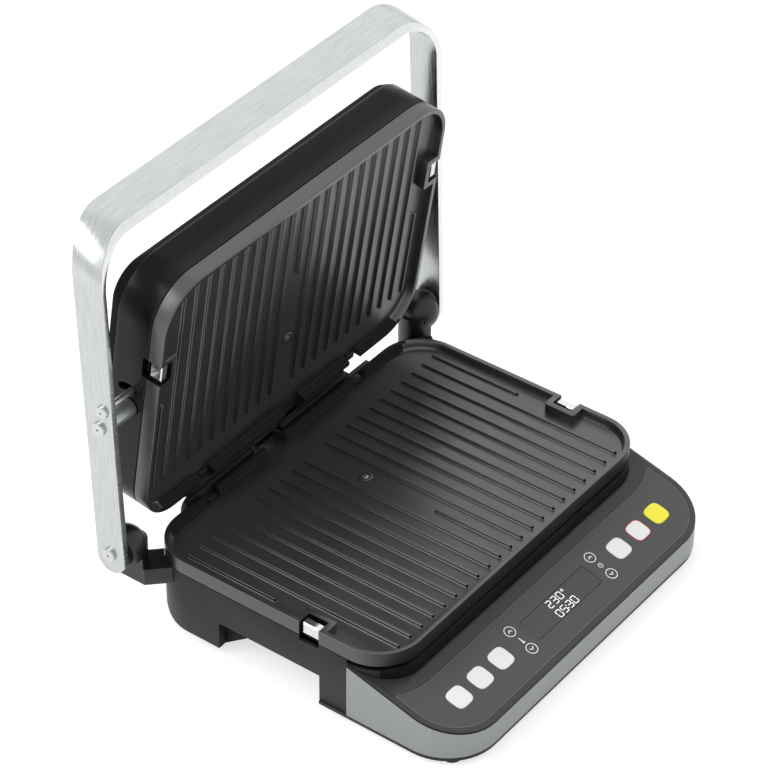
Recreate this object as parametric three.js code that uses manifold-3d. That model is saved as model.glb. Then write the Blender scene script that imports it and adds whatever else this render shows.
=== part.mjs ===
// Contact grill with two ribbed plates, a floating lid and a U-shaped carrying handle.
// Millimetres, +X right, +Y to the back, +Z up. It stands on its feet at Z = 0.
// Most pieces are drawn in the plate frame: the middle of the lower plate's rim is its origin.
import * as THREE from 'three';
import { mergeVertices } from 'three/addons/utils/BufferGeometryUtils.js';
import Module from 'manifold-3d';

const wasm = await Module();
wasm.setup();

// Cooking plate
const plateWidth = 300;
const plateDepth = 205;
const plateCorner = 33;
const skirtHeight = 11.2;
const skirtWall = 4.5;
const faceDepth = 6.4;
const plateFloor = 3.2;
const ribHeight = 1.5;
const ribBaseWidth = 3.1;
const ribSlope = 0.6;
const ribMargin = 12.5;
const ribsEachSide = 11;
const ribRear = 27.5;
const ribFront = 195;
const outerRibFront = 103;
const middleRibRear = 131.5;
const arrowSize = 5;
const arrowHeight = 0.4;

// Clearances
const gap = 0.3;
const overrun = 2;
const seam = 0.5;
const closedGap = 3;

// Plate latches
const latchRear = 139.5;
const pocketWidth = 16;
const pocketDepth = 8.8;
const pocketWall = 4.5;
const latchWidth = 14;
const latchHead = 6;
const latchTop = 2;
const latchHeadBottom = 13.6;
const latchNeck = 3;
const toothReach = 2;
const toothWidth = 8;
const toothTop = 5.3;
const toothThick = 2.2;
const carriageTop = 16.2;
const carriageThick = 3;
const carriageLength = 20.5;
const windowStart = 3.5;
const windowLength = 12.5;
const windowWidth = 6;
const pegThick = 2;
const pegWidth = 4;
const springRadius = 2.3;
const springBore = 1.2;
const springLength = 7;
const guideWidth = 3;
const latchNotch = 3.6;

// Rear clips that hold the plate's back edge
const clipInset = 68;
const clipWidth = 9;
const clipThick = 1.2;
const clipReach = 4.2;
const clipTop = 4.4;
const clipLeg = 20;
const clipNotchWidth = 13;
const clipNotchDepth = 6;

// Fat spout in the middle of the plate's back edge
const spoutWidth = 25;
const spoutCentre = -12.5;
const spoutWall = 2;
const spoutReach = 7.5;
const spoutFloor = 2;

// Heater, reflector and temperature probe
const heaterRadius = 3.5;
const heaterHalfWidth = 100;
const heaterHalfDepth = 66;
const heaterBend = 22;
const heaterInner = 24;
const heaterTail = 13;
const panHalfWidth = 119;
const panHalfDepth = 84;
const panCorner = 20;
const panHeight = 12;
const panSheet = 1.2;
const saddleLength = 12;
const saddleThick = 3;
const probeRear = 71.7;
const probeRadius = 2.5;
const probeBody = 6;
const probeStand = 0.8;
const probeRing = 5;

// Base tub
const tubWall = 2.8;
const tubFloorTop = 36;
const tubFloor = 2.5;
const frontRim = 14.75;
const frontRimStart = -68;
const archFront = -45.3;
const archRear = 39.4;
const legBottom = 61;
const legWidth = 52;
const legCurveStart = 66;
const footBoss = 9;

// Front box with the sloping control panel
const boxOverhang = 1.5;
const boxReach = 58.4;
const boxCorner = 39;
const bandRear = -68.7;
const bandThick = 1.2;
const bandBottom = 59.7;
const trimInset = 0.6;
const coverThick = 3.1;
const panelFrontHeight = 40.2;
const panelSlope = 15.2;
const panelThick = 3;
const panelLip = 1.5;
const boxWall = 2.5;

// Control panel, measured up the slope from its front edge
const overlayMargin = 4.3;
const overlayFront = 4.3;
const overlayRear = 50.4;
const overlayHorn = 57.8;
const overlayCorner = 34.7;
const overlayThick = 0.9;
const pocketFloor = 1.2;
const itemRow = 28.3;
const keySize = 14.6;
const keyCorner = 3.4;
const keyPitch = 23.2;
const keyFirst = 69.4;
const keyProud = 0.6;
const keyBottom = 1.2;
const keyWell = 1.9;
const keyStem = 3;
const keyStemLength = 5.1;
const windowHalf = 37;
const windowRise = 9.1;
const windowCorner = 1.5;
const boardDrop = 9.4;
const boardThick = 1.6;
const boardMargin = 19.5;
const boardBelow = 15;
const boardAbove = 16;
const switchSize = 6;
const switchHeight = 2.2;
const postRadius = 3;
const postMargin = 24.5;
const displayHeight = 6;

// Feet
const footRadius = 6.5;
const footInset = 15.5;
const frontFoot = -142;
const rearFoot = 61;
const standHeight = 66;

// Drip tray
const trayHalfWidth = 88;
const trayFront = 42;
const trayRear = 119;
const trayTop = 41;
const trayHeight = 16;
const trayWall = 1.8;
const trayFlange = 7;
const trayGrip = 6;
const trayGripHalf = 35;
const runnerThick = 3;

// Hinge brackets with their ball hubs
const hubY = 106.6;
const hubHeight = 6.7;
const hubRadius = 15;
const hubOut = 14.5;
const ballDrop = 1.7;
const hubFlatOut = 21;
const pedestalOut = 12;
const pedestalReach = 15;
const pedestalHalf = 12.9;
const pedestalBottom = 25;
const strutTop = 11.5;
const strutWidth = 21;
const strutOut = 11.35;
const strutReach = 45;
const shankRadius = 4;
const headRadius = 5.1;
const headThick = 2.2;
const hubShankOut = 3;
const washerRadius = 9;

// Handle
const armOut = 29;
const armThick = 5.1;
const armWidth = 23;
const armTail = 3.6;
const armRoot = 30;
const topRear = 254.4;
const topFront = 248.1;
const topFrontInner = 241.9;
const topRearInner = 249.4;
const bendRear = 36.8;
const bendFront = 36.1;
const bendFrontInner = 30.2;
const bendRearInner = 31.7;
const armRearBend = 13;
const armFrontBend = -11.2;
const armFrontInnerBend = -10.4;
const sweepRear = 22.9;
const sweepFront = -2.4;
const sweepFrontInner = -6.1;
const sweepRearInner = 24.1;
const armSlope = 10.2;
const openAngle = 81.3;

// Lid pivots and tilt stops on the handle's arms
const pivotReach = 105.2;
const pivotShank = 3;
const trunnionRadius = 7;
const trunnionStub = 4.8;
const trunnionIn = 6;
const pivotShankIn = 1;
const stopRadius = 15.7;
const stopAngle = -14.7;
const stopPin = 2.5;
const stopHead = 4.6;
const stopIn = 5.4;
const slotBelow = 2.2;
const slotAbove = 33;

// Lid shell
const creaseHeight = 38.9;
const lidHeight = 48.3;
const backInsetSide = 4.7;
const backInsetEnd = 8.5;
const backCorner = 21.5;
const shellWall = 2.5;
const lidPost = 5;

// Rear rail behind the lower plate
const railFront = 104.8;
const railRear = 109;
const railTop = 1.1;
const lidRailTop = -1.2;
const lidRailEnd = 77;
const railBottom = 24;
const railFlangeTop = 16;
const railMargin = 46;
const railStep = 78;
const railStepTop = 4.6;
const railRound = 8;
const railGap = 33;

// Cable inlet
const inletX = 66;
const inletDrop = 31;
const inletRadius = 4.6;
const inletFlange = 6.2;
const inletBore = 3.2;
const inletProud = 4;

// Curve steps
const cornerSteps = 6;
const roundSteps = 14;
const hubSteps = 20;
const smallSteps = 8;
const keySteps = 3;
const fewSteps = 2;
const bendSteps = 9;
const heaterSteps = 48;
const straightEnough = 0.14;
const mergeDistance = 1e-4;

// Values worked out from the sizes above
const halfWidth = plateWidth / 2;
const halfDepth = plateDepth / 2;
const ribPitch = (halfWidth - ribMargin) / ribsEachSide;
const clipOffset = halfWidth - clipInset;
const boxHalfWidth = halfWidth + boxOverhang;
const boxFront = -halfDepth - boxReach;
const overlayHalfWidth = boxHalfWidth - overlayMargin;
const boardHalf = boxHalfWidth - boardMargin;
const postOffset = boxHalfWidth - postMargin;
const footOffset = halfWidth - footInset;
const hubCentre = halfWidth + hubOut;
const hubFlat = halfWidth + hubFlatOut;
const pedestalFace = halfWidth + pedestalOut;
const strutLine = halfWidth - hubY + strutOut;
const hubShankEnd = halfWidth + hubShankOut;
const armOuter = halfWidth + armOut;
const trunnionEnd = halfWidth - trunnionIn;
const pivotShankEnd = halfWidth - pivotShankIn;
const stopEnd = halfWidth - stopIn;
const railHalf = halfWidth - railMargin;
const floorBottom = faceDepth + plateFloor;
const sideRim = skirtHeight + seam;
const latchY = halfDepth - latchRear;
const pocketInner = halfWidth - pocketDepth;
const latchInner = pocketInner + gap;
const latchOuter = latchInner + latchHead;
const probeY = halfDepth - probeRear;
const panelAngle = THREE.MathUtils.degToRad(panelSlope);
const panFloor = tubFloorTop - gap;
const lidInnerTop = lidHeight - shellWall;
const closedArm = THREE.MathUtils.degToRad(armSlope);
const fold = THREE.MathUtils.degToRad(openAngle);
const pivotY = hubY - pivotReach * Math.cos(closedArm);
const pivotZ = hubHeight + pivotReach * Math.sin(closedArm);
const armInner = armOuter - armThick;
const lidBackRise = closedGap + lidHeight - hubHeight;
const lidBackRear = halfDepth - backInsetEnd - hubY;
const trayFlangeRear = legCurveStart + trayHeight;
const openRear = hubY + lidBackRear * Math.cos(fold) + lidBackRise * Math.sin(fold);
const originShift = -(boxFront + openRear) / 2;

// Finishes
function finish(color, roughness, metalness) {
  return new THREE.MeshStandardMaterial({ color, roughness, metalness });
}
const blackPlastic = finish(0x1d1e20, 0.55, 0);
const glossBlack = finish(0x101113, 0.2, 0);
const castCoating = finish(0x2a2b2d, 0.5, 0.1);
const panelGrey = finish(0x4d4e50, 0.45, 0.1);
const silverPaint = finish(0xa2a5a7, 0.38, 0.6);
const brushedAluminium = finish(0xd9dadb, 0.35, 1);
const chrome = finish(0xe3e4e6, 0.1, 1);
const keyWhite = finish(0xeef1f1, 0.35, 0);
const keyYellow = finish(0xffe92e, 0.35, 0);
const displayBlack = finish(0x0b0c0e, 0.15, 0);
const boardGreen = finish(0x1f5a38, 0.6, 0);
const sheetMetal = finish(0xb9bcbe, 0.4, 0.9);
const heaterSteel = finish(0x6f7276, 0.5, 0.8);
const rubber = finish(0x161617, 0.85, 0);
const springSteel = finish(0x9b9ea1, 0.35, 0.9);

// Solids from three.js geometry
function solid(geometry) {
  const bare = geometry.clone();
  bare.deleteAttribute('normal');
  bare.deleteAttribute('uv');
  const merged = mergeVertices(bare, mergeDistance);
  const vertProperties = Float32Array.from(merged.getAttribute('position').array);
  const triVerts = Uint32Array.from(merged.getIndex().array);
  return new wasm.Manifold(new wasm.Mesh({ numProp: 3, vertProperties, triVerts }));
}

function geometryOf(body) {
  const mesh = body.getMesh();
  const geometry = new THREE.BufferGeometry();
  const positions = new Float32Array(mesh.numVert * 3);
  for (let i = 0; i < mesh.numVert; i += 1) {
    for (let axis = 0; axis < 3; axis += 1) {
      positions[i * 3 + axis] = mesh.vertProperties[i * mesh.numProp + axis];
    }
  }
  geometry.setAttribute('position', new THREE.BufferAttribute(positions, 3));
  geometry.setIndex(new THREE.BufferAttribute(Uint32Array.from(mesh.triVerts), 1));
  geometry.computeVertexNormals();
  return geometry;
}

function block(x0, x1, y0, y1, z0, z1) {
  const geometry = new THREE.BoxGeometry(Math.abs(x1 - x0), Math.abs(y1 - y0), Math.abs(z1 - z0));
  geometry.translate((x0 + x1) / 2, (y0 + y1) / 2, (z0 + z1) / 2);
  return solid(geometry);
}

function rodX(radius, x0, x1, y, z, steps = roundSteps) {
  const geometry = new THREE.CylinderGeometry(radius, radius, Math.abs(x1 - x0), steps);
  geometry.rotateZ(Math.PI / 2);
  geometry.translate((x0 + x1) / 2, y, z);
  return solid(geometry);
}

function rodY(radius, y0, y1, x, z, steps = roundSteps) {
  const geometry = new THREE.CylinderGeometry(radius, radius, Math.abs(y1 - y0), steps);
  geometry.translate(x, (y0 + y1) / 2, z);
  return solid(geometry);
}

function rodZ(radius, z0, z1, x, y, steps = roundSteps) {
  const geometry = new THREE.CylinderGeometry(radius, radius, Math.abs(z1 - z0), steps);
  geometry.rotateX(Math.PI / 2);
  geometry.translate(x, y, (z0 + z1) / 2);
  return solid(geometry);
}

// A closed outline with a radius at each corner: [x, y, radius] in order
function outline(corners) {
  const shape = new THREE.Shape();
  const count = corners.length;
  for (let i = 0; i < count; i += 1) {
    const [x, y, radius] = corners[i];
    const here = new THREE.Vector2(x, y);
    const before = new THREE.Vector2(...corners[(i + count - 1) % count]).sub(here);
    const after = new THREE.Vector2(...corners[(i + 1) % count]).sub(here);
    const half = before.angleTo(after) / 2;
    const cut = radius / Math.tan(half);
    const start = here.clone().addScaledVector(before.normalize(), cut);
    const end = here.clone().addScaledVector(after.normalize(), cut);
    if (i === 0) shape.moveTo(start.x, start.y);
    else shape.lineTo(start.x, start.y);
    if (radius > 0) {
      const middle = before.clone().add(after).normalize();
      const centre = here.clone().addScaledVector(middle, radius / Math.sin(half));
      const from = Math.atan2(start.y - centre.y, start.x - centre.x);
      const to = Math.atan2(end.y - centre.y, end.x - centre.x);
      const clockwise = before.cross(after) > 0;
      shape.absarc(centre.x, centre.y, radius, from, to, clockwise);
    }
  }
  shape.closePath();
  return shape;
}

function slab(shape, z0, z1, steps = cornerSteps) {
  const depth = Math.abs(z1 - z0);
  const geometry = new THREE.ExtrudeGeometry(shape, { depth, bevelEnabled: false, curveSegments: steps });
  geometry.translate(0, 0, Math.min(z0, z1));
  return solid(geometry);
}

// A closed body through rings with equal counts of points, in order along it
function loft(rings) {
  const positions = rings.flatMap((ring) => ring.flatMap((p) => [p.x, p.y, p.z]));
  const index = [];
  const count = rings[0].length;
  for (let i = 0; i < rings.length - 1; i += 1) {
    for (let k = 0; k < count; k += 1) {
      const a = i * count + k;
      const b = i * count + ((k + 1) % count);
      index.push(a, a + count, b, b, a + count, b + count);
    }
  }
  const last = (rings.length - 1) * count;
  for (let k = 1; k < count - 1; k += 1) {
    index.push(0, k, k + 1, last, last + k + 1, last + k);
  }
  const geometry = new THREE.BufferGeometry();
  geometry.setAttribute('position', new THREE.Float32BufferAttribute(positions, 3));
  geometry.setIndex(index);
  return solid(geometry);
}

// The plate's plan, drawn in by inset
function platePlan(inset) {
  const radius = plateCorner - inset;
  return outline([
    [-halfWidth + inset, -halfDepth + inset, radius],
    [halfWidth - inset, -halfDepth + inset, radius],
    [halfWidth - inset, halfDepth - inset, radius],
    [-halfWidth + inset, halfDepth - inset, radius],
  ]);
}

// The front box's plan, drawn in by inset and ending at rear
function boxPlan(inset, rear) {
  const radius = boxCorner - inset;
  return outline([
    [-boxHalfWidth + inset, boxFront + inset, radius],
    [boxHalfWidth - inset, boxFront + inset, radius],
    [boxHalfWidth - inset, rear, 0],
    [-boxHalfWidth + inset, rear, 0],
  ]);
}

function part(group, name, body, material) {
  const mesh = new THREE.Mesh(geometryOf(body), material);
  mesh.name = name;
  group.add(mesh);
}

// Everything above the control panel's plane, lowered by drop
function abovePanel(drop) {
  const reach = plateWidth + plateDepth;
  const geometry = new THREE.BoxGeometry(reach, reach, reach);
  geometry.translate(0, 0, reach / 2);
  geometry.rotateX(panelAngle);
  geometry.translate(0, boxFront, -panelFrontHeight - drop);
  return solid(geometry);
}

// Moves a geometry from the panel's own frame to the plate frame
function ontoPanel(body) {
  const geometry = geometryOf(body);
  geometry.rotateX(panelAngle);
  geometry.translate(0, boxFront, -panelFrontHeight);
  return solid(geometry);
}

function rib(x, rear, front) {
  const half = ribBaseWidth / 2 - ribSlope;
  const shape = outline([
    [x - half, halfDepth - front + ribSlope, half],
    [x + half, halfDepth - front + ribSlope, half],
    [x + half, halfDepth - rear - ribSlope, half],
    [x - half, halfDepth - rear - ribSlope, half],
  ]);
  const geometry = new THREE.ExtrudeGeometry(shape, {
    depth: plateFloor / 2,
    bevelThickness: ribHeight,
    bevelSize: ribSlope,
    bevelSegments: 1,
    curveSegments: 1,
  });
  geometry.translate(0, 0, -faceDepth - plateFloor / 2);
  const low = -floorBottom - ribHeight;
  const lower = block(x - ribPitch, x + ribPitch, -halfDepth, halfDepth, low, -floorBottom + gap);
  return solid(geometry).subtract(lower);
}

function plate() {
  let body = slab(platePlan(0), -skirtHeight, 0);
  body = body.subtract(slab(platePlan(skirtWall), -skirtHeight - overrun, -floorBottom));
  body = body.subtract(slab(platePlan(skirtWall), -faceDepth, overrun));
  for (const side of [-1, 1]) {
    const wall = side * (pocketInner - pocketWall);
    const half = pocketWidth / 2;
    const shoulder = half + pocketWall;
    const edge = side * (halfWidth - skirtWall);
    body = body.add(block(wall, edge, latchY - shoulder, latchY + shoulder, -floorBottom, 0));
    const mouth = side * (halfWidth + overrun);
    const pocketIn = side * pocketInner;
    const pocketLow = -floorBottom - overrun;
    body = body.subtract(block(pocketIn, mouth, latchY - half, latchY + half, pocketLow, overrun));
    const toothHalf = toothWidth / 2 + gap;
    const toothEnd = side * (latchInner - toothReach - gap);
    const slotBottom = -toothTop - toothThick - gap;
    const mouthIn = side * (pocketInner + overrun);
    const slotFront = latchY - toothHalf;
    const slotRear = latchY + toothHalf;
    body = body.subtract(block(toothEnd, mouthIn, slotFront, slotRear, slotBottom, -toothTop + gap));
    const notchHalf = clipNotchWidth / 2;
    const clipX = side * clipOffset;
    const notchFront = halfDepth - skirtWall - overrun;
    const notchRear = halfDepth + overrun;
    const x0 = clipX - notchHalf;
    const x1 = clipX + notchHalf;
    body = body.subtract(block(x0, x1, notchFront, notchRear, -clipNotchDepth, overrun));
  }
  const spoutLeft = spoutCentre - spoutWidth / 2;
  const spoutRight = spoutCentre + spoutWidth / 2;
  const spoutStart = halfDepth - skirtWall;
  const spoutEnd = halfDepth + spoutReach;
  body = body.add(block(spoutLeft, spoutRight, spoutStart, spoutEnd, -faceDepth - spoutFloor, -overrun));
  const channelLeft = spoutLeft + spoutWall;
  const channelRight = spoutRight - spoutWall;
  const channelRear = spoutEnd + overrun;
  const channelFront = spoutStart - overrun;
  body = body.subtract(block(channelLeft, channelRight, channelFront, channelRear, -faceDepth, overrun));
  for (let k = -ribsEachSide; k <= ribsEachSide; k += 1) {
    const outermost = Math.abs(k) === ribsEachSide;
    const rear = k === 0 ? middleRibRear : ribRear;
    const front = outermost ? outerRibFront : ribFront;
    body = body.add(rib(k * ribPitch, rear, front));
  }
  body = body.add(rodZ(probeRing, -faceDepth - gap, -faceDepth + probeStand, 0, probeY));
  body = body.subtract(rodZ(probeRadius + gap, -floorBottom - overrun, overrun, 0, probeY));
  const arrowX = -(pocketInner - pocketWall);
  const arrowY = latchY - pocketWidth / 2 - pocketWall - arrowSize;
  const arrow = outline([
    [arrowX, arrowY, 0],
    [arrowX + arrowSize, arrowY - arrowSize / 2, 0],
    [arrowX + arrowSize, arrowY + arrowSize / 2, 0],
  ]);
  return body.add(slab(arrow, -faceDepth - gap, -faceDepth + arrowHeight));
}

// Tubular heater: two loops in one bent rod, with both tails at the back
function heater() {
  const level = -(floorBottom + gap + heaterRadius);
  const tail = halfDepth - heaterTail;
  const path = new THREE.CurvePath();
  const stops = [
    [-heaterInner, tail],
    [-heaterInner, 0],
    [-heaterHalfWidth + heaterBend + heaterBend, 0],
    [-heaterHalfWidth, 0],
    [-heaterHalfWidth, -heaterHalfDepth],
    [heaterHalfWidth, -heaterHalfDepth],
    [heaterHalfWidth, heaterHalfDepth],
    [heaterInner, heaterHalfDepth],
    [heaterInner, tail],
  ];
  const points = stops.map(([x, y]) => new THREE.Vector3(x, y, level));
  let from = points[0];
  for (let i = 1; i < points.length - 1; i += 1) {
    const here = points[i];
    const back = points[i - 1].clone().sub(here);
    const ahead = points[i + 1].clone().sub(here);
    const turn = Math.min(heaterBend, back.length() / 2, ahead.length() / 2);
    const bend = Math.PI - back.angleTo(ahead) < straightEnough ? 0 : turn;
    if (bend > 0) {
      const start = here.clone().addScaledVector(back.normalize(), bend);
      const end = here.clone().addScaledVector(ahead.normalize(), bend);
      path.add(new THREE.LineCurve3(from, start));
      path.add(new THREE.QuadraticBezierCurve3(start, here, end));
      from = end;
    }
  }
  path.add(new THREE.LineCurve3(from, points[points.length - 1]));
  const section = new THREE.Shape();
  section.absarc(0, 0, heaterRadius, 0, Math.PI * 2, false);
  const geometry = new THREE.ExtrudeGeometry(section, {
    steps: heaterSteps,
    extrudePath: path,
    curveSegments: fewSteps,
  });
  return solid(geometry);
}

// Reflector pan under the heater, with four saddles that the heater lies on
function reflector() {
  const plan = (inset) => outline([
    [-panHalfWidth + inset, -panHalfDepth + inset, panCorner - inset],
    [panHalfWidth - inset, -panHalfDepth + inset, panCorner - inset],
    [panHalfWidth - inset, panHalfDepth - inset, panCorner - inset],
    [-panHalfWidth + inset, panHalfDepth - inset, panCorner - inset],
  ]);
  const inside = -panFloor + panSheet;
  let body = slab(plan(0), -panFloor, -panFloor + panHeight, cornerSteps / 2);
  body = body.subtract(slab(plan(panSheet), inside, overrun, cornerSteps / 2));
  const saddleTop = -(floorBottom + gap + heaterRadius * 2 + gap);
  const saddleLow = inside - gap;
  const half = saddleLength / 2;
  for (const side of [-1, 1]) {
    const x = side * heaterHalfWidth / 2;
    const x0 = x - saddleThick / 2;
    const front = -heaterHalfDepth - half;
    body = body.add(block(x0, x0 + saddleThick, front, front + saddleLength, saddleLow, saddleTop));
  }
  const right = heaterHalfWidth - half;
  const left = -heaterHalfWidth - half;
  const rightFront = -saddleThick / 2;
  const leftFront = -heaterHalfDepth / 2 - saddleThick / 2;
  for (const [x0, y0] of [[right, rightFront], [left, leftFront]]) {
    body = body.add(block(x0, x0 + saddleLength, y0, y0 + saddleThick, saddleLow, saddleTop));
  }
  return body;
}

function probe() {
  const top = -faceDepth + probeStand;
  const seat = -panFloor + panSheet + gap;
  const body = rodZ(probeRadius, seat + overrun, top, 0, probeY);
  return body.add(rodZ(probeBody, seat, -floorBottom - overrun, 0, probeY));
}

function latch(side) {
  const half = latchWidth / 2;
  const toothHalf = toothWidth / 2;
  const inner = side * latchInner;
  const outer = side * latchOuter;
  const neckOuter = side * (latchInner + latchNeck);
  const carriageInner = side * (latchInner + latchNeck - carriageLength);
  const carriageBottom = -carriageTop - carriageThick;
  const windowIn = carriageInner + side * windowStart;
  const windowOut = windowIn + side * windowLength;
  const windowHalfWidth = windowWidth / 2;
  const front = latchY - half;
  const rear = latchY + half;
  const toothFront = latchY - toothHalf;
  const toothRear = latchY + toothHalf;
  let body = block(inner, outer, front, rear, -latchHeadBottom, -latchTop);
  const toothIn = inner - side * toothReach;
  const toothLow = -toothTop - toothThick;
  const toothOut = inner + side * gap;
  const neckTop = -latchHeadBottom + gap;
  body = body.add(block(toothIn, toothOut, toothFront, toothRear, toothLow, -toothTop));
  body = body.add(block(inner, neckOuter, toothFront, toothRear, carriageBottom, neckTop));
  body = body.add(block(carriageInner, neckOuter, front, rear, carriageBottom, -carriageTop));
  const y0 = latchY - windowHalfWidth;
  const y1 = latchY + windowHalfWidth;
  return body.subtract(block(windowIn, windowOut, y0, y1, carriageBottom - overrun, -carriageTop + overrun));
}

// The spring's seat: the inner face of the fixed peg, measured from the middle
function pegInner() {
  return latchInner + latchNeck - carriageLength + windowStart + windowLength - pegThick - gap;
}

function latchSpring(side) {
  const outer = pegInner() - gap;
  const z = -carriageTop - carriageThick / 2;
  const x0 = side * (outer - springLength);
  const x1 = side * outer;
  const body = rodX(springRadius, x0, x1, latchY, z, smallSteps);
  return body.subtract(rodX(springBore, x0 - side * overrun, x1 + side * overrun, latchY, z, smallSteps));
}

// Peg and guides that carry one latch, standing on a floor at depth
function latchSeat(side, depth) {
  const inner = side * pegInner();
  const outer = side * (pegInner() + pegThick);
  const halfPeg = pegWidth / 2;
  const low = -depth - gap;
  const guideTop = -carriageTop - carriageThick - gap;
  const guideIn = latchInner + latchNeck - carriageLength + gap;
  const guideX0 = side * guideIn;
  const guideX1 = side * (guideIn + carriageLength / 2);
  const guideOff = latchWidth / 2 - guideWidth / 2;
  let body = block(inner, outer, latchY - halfPeg, latchY + halfPeg, low, -carriageTop);
  for (const edge of [-1, 1]) {
    const y = latchY + edge * guideOff;
    body = body.add(block(guideX0, guideX1, y - guideWidth / 2, y + guideWidth / 2, low, guideTop));
  }
  return body;
}

// Notch in a housing's back wall that the spout runs through
function spoutNotch(wall) {
  const left = spoutCentre - spoutWidth / 2 - gap;
  const right = spoutCentre + spoutWidth / 2 + gap;
  const low = -faceDepth - spoutFloor - gap;
  return block(left, right, halfDepth - wall - overrun, halfDepth + overrun, low, overrun);
}

function rearClip(side) {
  const x0 = side * clipOffset - clipWidth / 2;
  const x1 = side * clipOffset + clipWidth / 2;
  const front = halfDepth + gap;
  const body = block(x0, x1, front, front + clipThick, -clipLeg, -clipTop);
  return body.add(block(x0, x1, front - clipReach, front + clipThick, -clipTop - clipThick, -clipTop));
}

// One heated half: plate, heater, reflector, probe, latches, springs and clips
function heatedHalf(group, prefix, leftSide) {
  part(group, `${prefix}_plate`, plate(), castCoating);
  part(group, `${prefix}_heater`, heater(), heaterSteel);
  part(group, `${prefix}_reflector`, reflector(), sheetMetal);
  part(group, `${prefix}_temperature_probe`, probe(), springSteel);
  for (const side of [-1, 1]) {
    const label = side === leftSide ? 'left' : 'right';
    part(group, `${prefix}_latch_${label}`, latch(side), chrome);
    part(group, `${prefix}_latch_spring_${label}`, latchSpring(side), springSteel);
    part(group, `${prefix}_rear_clip_${label}`, rearClip(side), chrome);
  }
}

// The leg's side view: flat under the foot, curving up to the back
function legProfile() {
  const shape = new THREE.Shape();
  const tall = legBottom - tubFloorTop;
  shape.moveTo(archRear, -tubFloorTop);
  shape.lineTo(archRear, -legBottom);
  shape.lineTo(legCurveStart, -legBottom);
  const reach = halfDepth - legCurveStart;
  shape.absellipse(legCurveStart, -tubFloorTop, reach, tall, -Math.PI / 2, 0, false, 0);
  shape.lineTo(archRear, -tubFloorTop);
  return shape;
}

function baseHousing() {
  const floorLow = tubFloorTop + tubFloor;
  const tub = slab(platePlan(0), -floorLow, -sideRim);
  const boxInset = bandThick + gap;
  const boxLow = bandBottom - gap;
  const boxBlank = slab(boxPlan(boxInset, archFront), -boxLow, -skirtHeight);
  const box = boxBlank.subtract(abovePanel(panelThick + gap));
  let body = tub.add(box);

  const profile = new THREE.ExtrudeGeometry(legProfile(), {
    depth: plateWidth,
    bevelEnabled: false,
    curveSegments: cornerSteps,
  });
  profile.rotateX(Math.PI / 2);
  profile.rotateZ(Math.PI / 2);
  profile.translate(-halfWidth, 0, 0);
  const legBlank = solid(profile).intersect(slab(platePlan(0), -legBottom, -tubFloorTop));
  const legHollow = slab(platePlan(tubWall), -legBottom - overrun, -floorLow);
  for (const side of [-1, 1]) {
    const legInner = side * (halfWidth - legWidth);
    const legOuter = side * (halfWidth + overrun);
    const zone = block(legInner, legOuter, archRear, halfDepth + overrun, -legBottom - overrun, 0);
    body = body.add(legBlank.intersect(zone));
    const hollowInner = side * (halfWidth - legWidth + tubWall);
    const hollowFront = archRear + tubWall;
    const rearLimit = halfDepth - tubWall - overrun;
    const hollowLow = -legBottom - overrun;
    const hollowZone = block(hollowInner, legOuter, hollowFront, rearLimit, hollowLow, -floorLow);
    const inner = solid(profile.clone().translate(0, -tubWall, tubWall));
    const openTop = -legBottom + tubWall;
    const openBottom = block(hollowInner, legOuter, hollowFront, legCurveStart, hollowLow, openTop);
    body = body.subtract(inner.add(openBottom).intersect(hollowZone).intersect(legHollow));
    body = body.add(rodZ(footBoss, -legBottom, -floorLow + gap, side * footOffset, rearFoot));
    const runnerIn = side * (trayHalfWidth + gap);
    const runnerTop = -trayTop - trayWall - gap;
    const runnerOut = legInner + side * gap;
    const runnerLow = runnerTop - runnerThick;
    body = body.add(block(runnerIn, runnerOut, archRear, trayFlangeRear, runnerLow, runnerTop));
  }

  const cavity = slab(platePlan(tubWall), -tubFloorTop, overrun);
  body = body.subtract(cavity);
  const boxInner = boxInset + boxWall;
  const boxCavity = slab(boxPlan(boxInner, archFront - boxWall), -legBottom - overrun, overrun);
  body = body.subtract(boxCavity.subtract(slab(platePlan(0), -floorLow, overrun + overrun)));

  const far = halfWidth + overrun;
  body = body.subtract(block(-far, far, -halfDepth - overrun, frontRimStart, -frontRim, overrun));
  for (const side of [-1, 1]) {
    const notchIn = side * (halfWidth - tubWall - overrun);
    const half = pocketWidth / 2;
    const low = -sideRim - latchNotch;
    body = body.subtract(block(notchIn, side * far, latchY - half, latchY + half, low, overrun));
    body = body.add(latchSeat(side, tubFloorTop));
  }
  body = body.subtract(spoutNotch(tubWall));
  const holeFront = halfDepth - tubWall - overrun;
  return body.subtract(rodY(inletRadius + gap, holeFront, halfDepth + overrun, inletX, -inletDrop));
}

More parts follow.
